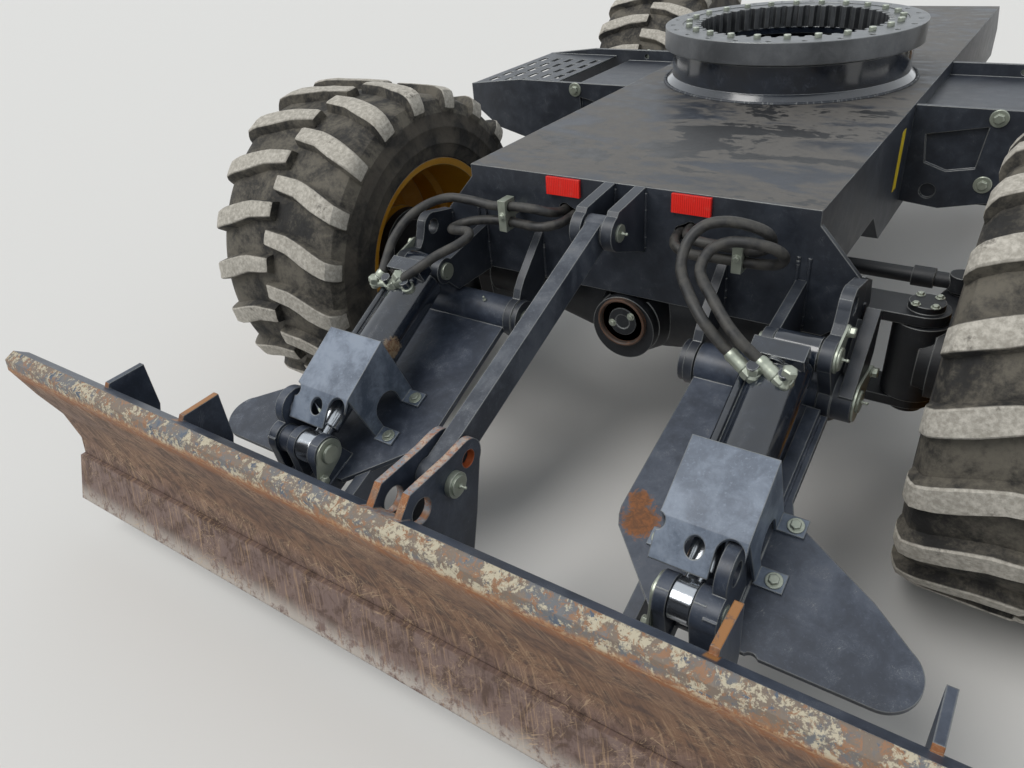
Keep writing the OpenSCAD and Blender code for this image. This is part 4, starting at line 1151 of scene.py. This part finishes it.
@dataclass(frozen=True)
class Hose:
    """One hose in millimetres from the middle of the front plate: its route, and the elbow to its port."""

    route: tuple[Place, ...]
    elbow: Place
    leg: Place
    port_x: float
    radius: float = 0.012
    port_at: Pair = (-0.104, 0.052)

    @staticmethod
    def placed(points: Sequence) -> np.ndarray:
        """Points of the front plate's frame in metres in the frame of the part."""
        return np.array(points, float) / 1000 + (0, PLATE_Y, 0)

    def tube(self) -> Shell:
        """The hose, along a smooth curve through the points of its route."""
        return swept_tube(smooth_route(self.placed(self.route), 9), self.radius, 14)

    def fitting(self) -> Shell:
        """Crimped sleeve and nut on the hose's end, the elbow, its capped leg and the neck to the port.

        Each is turned from its own profile, and points from the hose's end to the elbow's corner, along the
        leg, or from the corner to the port.

        Returns:
            The fitting in one shell.
        """
        start, corner = self.placed(self.route)[-1], self.placed(self.elbow)
        port = CYLINDER.point(self.port_x, *self.port_at)
        reach, span = float(np.linalg.norm(corner - start)), float(np.linalg.norm(port - corner))
        height = float(np.linalg.norm(self.leg)) / 1000
        sleeve = turned_shell([(-0.006, 0.0128), (0, 0.0148), (0.006, 0.0152), (0.010, 0.0142), (0.014, 0.0152),
                               (0.020, 0.0142), (0.024, 0.0152), (reach - 0.022, 0.0148),
                               (reach - 0.020, 0.0125)], 20)
        nut = turned_shell([(reach - 0.020, 0.0150), (reach - 0.018, 0.0166), (reach - 0.004, 0.0166),
                            (reach - 0.002, 0.0150)], 6)
        ball = turned_shell([(-0.0135, 0.004), (-0.011, 0.010), (0, 0.0138), (0.011, 0.010), (0.0135, 0.004)], 18)
        stub = turned_shell([(0.002, 0.0110), (height - 0.016, 0.0110)], 16)
        cap = turned_shell([(height - 0.018, 0.0135), (height - 0.016, 0.0155), (height - 0.004, 0.0155),
                            (height - 0.001, 0.0130), (height, 0.0095)], 6)
        neck = turned_shell([(0, 0.0095), (span, 0.0095)], 14)
        collar = turned_shell([(-0.008, 0.0150), (-0.007, 0.0165), (0.007, 0.0165), (0.008, 0.0150)], 20)
        return joined([*(shell.facing(corner - start, start) for shell in (sleeve, nut)),
                       *(shell.facing(self.leg, corner) for shell in (ball, stub, cap)),
                       neck.facing(port - corner, corner), collar.facing(CYLINDER.axes()[2], port)])


@dataclass(frozen=True)
class HosePair:
    """The two hoses of one lift cylinder, which bend between the frame and the swinging barrel."""

    side: Side
    bend_y: Pair
    hoses: tuple[Hose, Hose]
    bend_z: float = 0.78

    def fit(self, dress: Dress) -> None:
        """Put the hoses in place of their plain solids, and the fittings on the barrel.

        Args:
            dress: The materials.
        """
        tag, x, (near, far) = self.side.tag, self.side.value * UNIT_X, self.bend_y
        piece = new_object(f"hoses_{tag}_rubber", joined([h.tube() for h in self.hoses]), dress["hose_rubber"],
                           "", 50)
        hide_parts(f"hoses_{tag}")
        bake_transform(piece)
        new_object(f"hose_fittings_{tag}", joined([h.fitting() for h in self.hoses]), dress["zinc"],
                   f"barrel_{tag}", 30)


HOSES = (
    HosePair(Side.LEFT, (-1.11, -1.285), (
        Hose(((-167, 8, 801), (-168, -20, 801), (-182, -50, 808), (-216, -64, 816), (-256, -65, 816),
              (-300, -64, 812), (-350, -64, 808), (-420, -62, 812), (-484, -72, 812), (-528, -120, 799),
              (-555, -165, 772), (-562, -215, 738), (-553, -256, 709), (-536, -300, 683)),
             (-551, -318, 659), (4, -2, 22), -0.504),
        Hose(((-143, 8, 789), (-143, -26, 788), (-158, -60, 783), (-196, -76, 777), (-250, -68, 773),
              (-300, -64, 772), (-350, -66, 769), (-400, -70, 761), (-432, -82, 753), (-443, -108, 750),
              (-429, -132, 754), (-396, -144, 762), (-362, -152, 767), (-344, -174, 766), (-348, -202, 759),
              (-364, -228, 750), (-387, -256, 738), (-408, -290, 722), (-455, -317, 688)),
             (-491, -319, 664), (33, 0, 40), -0.443))),
    HosePair(Side.RIGHT, (-1.13, -1.295), (
        Hose(((167, 8, 801), (168, -20, 801), (184, -48, 801), (218, -60, 800), (262, -58, 798), (305, -56, 797),
              (345, -55, 800), (371, -64, 824), (366, -80, 852), (332, -94, 869), (285, -104, 874),
              (244, -120, 864), (222, -150, 836), (228, -194, 798), (269, -250, 775), (315, -290, 746),
              (351, -303, 718), (386, -306, 690)), (436, -319, 660), (2, 0, 26), 0.436),
        Hose(((143, 8, 789), (143, -26, 788), (156, -60, 783), (192, -76, 776), (250, -62, 770), (305, -56, 769),
              (347, -54, 769), (388, -62, 780), (406, -82, 806), (390, -102, 830), (350, -116, 841),
              (304, -128, 841), (272, -154, 826), (272, -198, 798), (317, -248, 775), (366, -285, 742),
              (406, -302, 716), (446, -306, 689)), (497, -319, 660), (10, 0, 38), 0.497))),
)


class Kind(Enum):
    """Kinds of fastener; a hexagon one gives its width, height, washer radius and washer thickness."""

    GUARD_BOLT = (0.019, 0.0095, 0.0165, 0.0032)
    SMALL_BOLT = (0.013, 0.007, 0.0105, 0.002)
    FLAG_BOLT = (0.019, 0.014, 0.0125, 0.003)
    STEP_BOLT = (0.024, 0.014, 0.024, 0.005)
    WHEEL_NUT = (0.032, 0.024, 0.024, 0.006)
    SOCKET_SCREW = "socket screw"
    PIN_END = "pin end"
    NIPPLE = "nipple"

    def shell(self) -> Shell:
        """Its mesh, seated on z = 0 and pointing up.

        Returns:
            The shell; a wheel nut has its stud in it.
        """
        if self is Kind.SOCKET_SCREW:
            return turned_shell([(0, 0.0105), (0.0105, 0.0105), (0.012, 0.0095)], 18)
        if self is Kind.PIN_END:
            return turned_shell([(0, 0.0245), (0.0035, 0.0245), (0.0060, 0.0220), (0.0062, 0.0080),
                                 (0.0030, 0.0070)], 36)
        if self is Kind.NIPPLE:
            return joined([turned_shell([(0, 0.0052), (0.004, 0.0052), (0.0042, 0.0045)], 6),
                           turned_shell([(0.004, 0.0030), (0.009, 0.0024), (0.010, 0.0036), (0.013, 0.0036),
                                         (0.015, 0.0020)], 12)])
        if self is Kind.WHEEL_NUT:
            stud = turned_shell([(0.020, 0.0105), (0.036, 0.0105), (0.038, 0.009)], 16)
            return joined([hex_bolt(*self.value), stud])
        return hex_bolt(*self.value)


@dataclass(frozen=True)
class Fastener:
    """One fastener: its kind, the body that carries it, its seat and the way it points."""

    kind: Kind
    body: str
    at: Sequence[float]
    way: Sequence[float]


def bolt_circle(count: int, radius: float, start: float = 0.0) -> list[tuple[float, float]]:
    """Places round a circle: (radius * cos a, radius * sin a) with a = 2 pi (i + start) / count."""
    angles = [2 * math.pi * (i + start) / count for i in range(count)]
    return [(radius * math.cos(a), radius * math.sin(a)) for a in angles]


@dataclass(frozen=True)
class Fasteners:
    """Bolts, pin ends and grease nipples, by the plates that they seat on."""

    keeper_x: float = 0.60325
    ear_x: float = 0.56325
    arm_ear_x: float = 0.41675
    nipple_off: float = 0.00475
    guard_rows: Pair = (0.325, 0.445)
    guard_half_w: float = 0.113
    arm_nipple: Place = (0.33, -0.006, 0.0475)
    step_xz: tuple[Pair, Pair] = ((0.662, 0.857), (0.661, 0.673))
    step_y: Pair = (SLEW_Y - 0.260, SLEW_Y + 0.330)
    rim_x: float = 1.0555
    hub_x: float = 1.1295
    kingpin: Place = (0.660, Axle.FRONT.value, 0.646)
    race_r: float = 0.326
    race_z: float = 1.053
    clamps: tuple[Place, Place] = ((-0.300, -0.086, 0.792), (0.305, -0.078, 0.783))
    top_link_x: float = 0.058
    top_link_z: float = 0.821
    blade_nipple: Place = (0.0575, ARM_END_Y, 0.569630)

    def on_linkage(self, side: Side) -> list[Fastener]:
        """Those of one arm and its cylinder: guard bolts, pin ends, the bolts of the pins' flags, nipples.

        Args:
            side: The arm's side.

        Returns:
            The fasteners.
        """
        s, arm, off = side.value, f"arm_{side.tag}", ARM.axes()[2]
        out, inward = (s, 0.0, 0.0), (-s, 0.0, 0.0)
        found = [Fastener(Kind.GUARD_BOLT, arm, ARM.point(s * UNIT_X + k * self.guard_half_w, -u, 0.01375), off)
                 for u in self.guard_rows for k in (-1, 1)]
        for x, pin, back, rise in ((self.keeper_x, ARM, 0.095, 0.020), (self.ear_x, CYLINDER, 0.056, 0.033)):
            found += [Fastener(Kind.FLAG_BOLT, "chassis", (s * x, pin.y + back, pin.z + rise), out),
                      Fastener(Kind.PIN_END, "chassis", (s * x, pin.y, pin.z), out),
                      Fastener(Kind.NIPPLE, "chassis", (s * (x + self.nipple_off), pin.y, pin.z), out)]
        x, y, z = self.arm_nipple
        return found + [Fastener(Kind.FLAG_BOLT, arm, ROD_PIN.point(s * self.arm_ear_x, -0.052, -0.034), inward),
                        Fastener(Kind.PIN_END, arm, (s * self.arm_ear_x, ROD_PIN.y, ROD_PIN.z), inward),
                        Fastener(Kind.NIPPLE, arm, ARM.point(s * x, y, z), off)]

    def on_step(self, side: Side) -> list[Fastener]:
        """The bolts through both ends of a side step."""
        return [Fastener(Kind.STEP_BOLT, "chassis", (side.value * x, y, z), (0.0, way, 0.0))
                for x, z in self.step_xz for y, way in zip(self.step_y, (-1.0, 1.0))]

    def on_wheel(self, axle: Axle, side: Side) -> list[Fastener]:
        """The nuts of a rim and the screws of its hub's cover.

        Args:
            axle: The wheel's axle.
            side: The wheel's side.

        Returns:
            The fasteners.
        """
        s, wheel = side.value, f"wheel_{axle.tag}_{side.tag}"
        rings = ((Kind.WHEEL_NUT, self.rim_x, bolt_circle(10, 0.166, 0.5)),
                 (Kind.SOCKET_SCREW, self.hub_x, bolt_circle(12, 0.114, 0.25)))
        return [Fastener(kind, wheel, (s * x, axle.value + b, AXLE_Z + a), (s, 0.0, 0.0))
                for kind, x, circle in rings for a, b in circle]

    def on_kingpin(self, side: Side) -> list[Fastener]:
        """The four bolts on top of a kingpin."""
        x, y, z = self.kingpin
        return [Fastener(Kind.SMALL_BOLT, "chassis", (side.value * x + dx, y + dy, z), UP)
                for dy in (-0.026, 0.026) for dx in (-0.020, 0.020)]

    def on_middle(self) -> list[Fastener]:
        """Those of the slewing ring, the hose clamps, the front axle's nose and the top link.

        Returns:
            The fasteners.
        """
        found = [Fastener(Kind.SOCKET_SCREW, "chassis", (a, SLEW_Y + b, self.race_z), UP)
                 for a, b in bolt_circle(24, self.race_r)]
        found += [Fastener(Kind.SMALL_BOLT, "chassis", (x, PLATE_Y + y, z), AHEAD) for x, y, z in self.clamps]
        found += [Fastener(Kind.SMALL_BOLT, "chassis", (0.030 * math.sin(a), Axle.FRONT.value - 0.184,
                                                        NOSE_Z + 0.030 * math.cos(a)), AHEAD) for a in (0.9, 4.4)]
        found += [Fastener(Kind.NIPPLE, "chassis", (s * self.top_link_x, ARM.y, self.top_link_z), (s, 0.0, 0.0))
                  for s in (1, -1)]
        return found + [Fastener(Kind.NIPPLE, "blade", self.blade_nipple, (1.0, 0.0, 0.0))]

    def fit(self, dress: Dress) -> None:
        """Make one mesh of fasteners for each body.

        Args:
            dress: The materials.
        """
        found = []
        for side in Side:
            found += self.on_linkage(side) + self.on_step(side)
            found += [item for axle in Axle for item in self.on_wheel(axle, side)] + self.on_kingpin(side)
        by_body: dict[str, list[Shell]] = {}
        for item in found + self.on_middle():
            by_body.setdefault(item.body, []).append(item.kind.shell().facing(item.way, item.at))
        for body, shells in by_body.items():
            finish, slot = ("axle_black", "axle") if body.startswith("wheel") else ("zinc", "zinc")
            new_object(f"fasteners_{body}", joined(shells), dress[finish], body, 30)


@dataclass(frozen=True)
class Welds:
    """Weld beads where plates meet, on the frame and on the arms; an arm's lie in the arm's own frame."""

    seed: int = 5
    top_link_x: Pair = (0.026, 0.053)
    top_link_z: Pair = (0.735, 0.874)
    ear_x_top: Profile = ((0.236, 0.700), (0.258, 0.700), (0.414, 0.780), (0.438, 0.780), (0.531, 0.745),
                          (0.558, 0.700))
    ear_foot: float = 0.606
    pedestal_r: float = 0.396
    pedestal_z: float = 0.886
    floor_z: float = 0.0085
    rod_ear_x: tuple[float, ...] = (0.422, 0.448, 0.492, 0.516)
    rod_ear_y: Pair = (-0.546, -0.618)
    rib_x: Pair = (0.518, 0.546)
    rib_y: Pair = (-0.070, -0.330)

    @staticmethod
    def bead(ends: Sequence[Sequence[float]], width: float, rng: np.random.Generator) -> Shell:
        """A laid weld: a low round bead with a ripple every few millimetres.

        The radius is width * (1 + 0.12 sin(2 pi s / 5 mm) + noise) at length s, and less at both ends.

        Args:
            ends: The corners of its line.
            width: Its mean radius.
            rng: Source of the noise.

        Returns:
            The bead.
        """
        corners = np.array(ends, float)
        along = np.concatenate([[0], np.cumsum(np.linalg.norm(np.diff(corners, axis=0), axis=1))])
        s = np.arange(0, along[-1], 0.0016)
        path = np.stack([np.interp(s, along, corners[:, k]) for k in range(3)], 1)
        radius = width * (1 + 0.12 * np.sin(2 * math.pi * s / 0.005) + rng.normal(0, 0.04, len(s)))
        radius[[0, -1]] *= 0.4
        return swept_tube(path, radius, 7)

    def on_frame(self, rng: np.random.Generator) -> Shell:
        """Beads beside the ears and round the pedestal's foot.

        Args:
            rng: Source of the ripples.

        Returns:
            The beads in one shell.
        """
        beads = []
        for side in Side:
            lines = [(x, *self.top_link_z, 0.0042) for x in self.top_link_x]
            lines += [(x, self.ear_foot, top, 0.0045) for x, top in self.ear_x_top]
            beads += [self.bead([(side.value * x, PLATE_Y, low), (side.value * x, PLATE_Y, top)], width, rng)
                      for x, low, top, width in lines]
        a = np.linspace(0, 2 * math.pi, 400)
        ring = np.stack([self.pedestal_r * np.cos(a), SLEW_Y + self.pedestal_r * np.sin(a),
                         np.full(400, self.pedestal_z)], 1)
        return joined(beads + [self.bead(ring, 0.0050, rng)])

    def on_arm(self, side: Side, rng: np.random.Generator) -> Shell:
        """Beads beside the ears and ribs on an arm's floor plate.

        Args:
            side: The arm's side.
            rng: Source of the ripples.

        Returns:
            The beads in one shell.
        """
        lines = [(x, self.rod_ear_y) for x in self.rod_ear_x] + [(x, self.rib_y) for x in self.rib_x]
        return joined([self.bead([ARM.point(side.value * x, y, self.floor_z) for y in ends], 0.0040, rng)
                       for x, ends in lines])

    def fit(self, dress: Dress) -> None:
        """Lay the frame's beads, then those of each arm.

        Args:
            dress: The materials.
        """
        rng = np.random.default_rng(self.seed)
        new_object("weld_beads_frame", self.on_frame(rng), dress["frame_paint"], "chassis", 60)
        for side in Side:
            new_object(f"weld_beads_arm_{side.tag}", self.on_arm(side, rng), dress["linkage_paint"],
                       f"arm_{side.tag}", 60)


@dataclass(frozen=True)
class Studio:
    """Pale floor, soft lamps and the camera, all in metres and degrees."""

    floor_reach: float = 60.0
    floor_colour: Colour = (0.72, 0.71, 0.69)
    dome_colour: Colour = (0.93, 0.97, 1.0)
    dome_strength: float = 0.62
    lamp_strength: float = 1.6
    lamp_spread: float = 35
    lamp_colour: Colour = (1.0, 0.98, 0.95)
    lamp_turn: Place = (28, -24, 0)
    sensor: float = 36.0
    lens: float = 27.65
    eye: Place = (0.822, -2.619635, 1.502)
    azimuth: float = 36.764
    tilt: float = 32.59
    roll: float = -5.221

    def build(self) -> None:
        """Add the floor, the light and the camera."""
        self.floor()
        self.light()
        self.camera()
        bpy.context.scene.view_settings.view_transform = "Standard"

    def floor(self) -> None:
        """A wide pale floor at z = 0 that the camera sees as nearly white."""
        e = self.floor_reach
        mesh = bpy.data.meshes.new("studio_floor")
        mesh.from_pydata([(-e, -e, 0), (e, -e, 0), (e, e, 0), (-e, e, 0)], [], [(0, 1, 2, 3)])
        floor = bpy.data.objects.new("studio_floor", mesh)
        bpy.context.scene.collection.objects.link(floor)
        material, _, shader = new_material("floor_pale")
        shader.inputs["Base Color"].default_value = (*self.floor_colour, 1)
        shader.inputs["Roughness"].default_value = 0.9
        mesh.materials.append(material)

    def light(self) -> None:
        """Soft grey dome, white to the camera and in reflections, with one broad lamp above."""
        world = bpy.data.worlds.new("studio_world")
        bpy.context.scene.world = world
        world.use_nodes = True
        n = Nodes(world.node_tree)
        back = world.node_tree.nodes["Background"]
        path = n.add("ShaderNodeLightPath").outputs
        seen = n.most(path["Is Camera Ray"], n.most(path["Is Glossy Ray"], path["Is Transmission Ray"]))
        n.feed(back, {"Strength": n.plus(self.dome_strength, n.times(seen, 1 - self.dome_strength))})
        back.inputs["Color"].default_value = (*self.dome_colour, 1)
        sun = bpy.data.lights.new("broad_lamp", "SUN")
        sun.energy, sun.angle, sun.color = self.lamp_strength, math.radians(self.lamp_spread), self.lamp_colour
        lamp = bpy.data.objects.new("broad_lamp", sun)
        lamp.rotation_euler = [math.radians(v) for v in self.lamp_turn]
        bpy.context.scene.collection.objects.link(lamp)

    def camera(self) -> None:
        """The camera of the photograph, solved from its straight edges: forward, right and up give its turn."""
        a, e, r = (math.radians(v) for v in (self.azimuth, self.tilt, self.roll))
        ahead = -np.array([math.sin(a) * math.cos(e), -math.cos(a) * math.cos(e), math.sin(e)])
        right = np.cross(ahead, UP)
        right /= np.linalg.norm(right)
        up = np.cross(right, ahead)
        x = math.cos(r) * right + math.sin(r) * up
        y = -math.sin(r) * right + math.cos(r) * up
        data = bpy.data.cameras.new("camera")
        data.sensor_width, data.lens = self.sensor, self.lens
        camera = bpy.data.objects.new("camera", data)
        turn = Matrix([list(row) for row in np.stack([x, y, -ahead], 1)]).to_4x4()
        camera.matrix_world = Matrix.Translation(self.eye) @ turn
        bpy.context.scene.collection.objects.link(camera)
        bpy.context.scene.camera = camera


def paint_nodes(frame: dict, dress: Dress) -> None:
    """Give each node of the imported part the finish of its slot, or its own.

    Args:
        frame: The loaded part: its record and its nodes.
        dress: The materials.
    """
    for row in frame["record"]["subparts"]:
        finish = NODE_FINISH.get(row["node"], SLOT_FINISH[row["material_slot"]])
        materials = frame["nodes"][row["node"]].data.materials
        materials.clear()
        materials.append(dress[finish])
        LOG.info("%s: %s", row["node"], finish)


def main() -> None:
    """Dress the part piece by piece."""
    logging.basicConfig(level=logging.INFO, format="%(name)s %(message)s")
    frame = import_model()
    dress = all_finishes()
    paint_nodes(frame, dress)
    for axle in Axle:
        for side in Side:
            Tyre().fit(axle, side, dress)
    for pair in HOSES:
        pair.fit(dress)
    for assembly in (Fasteners(), Welds(), Trim()):
        assembly.fit(dress)
    Studio().build()


if __name__ == "__main__":
    main()
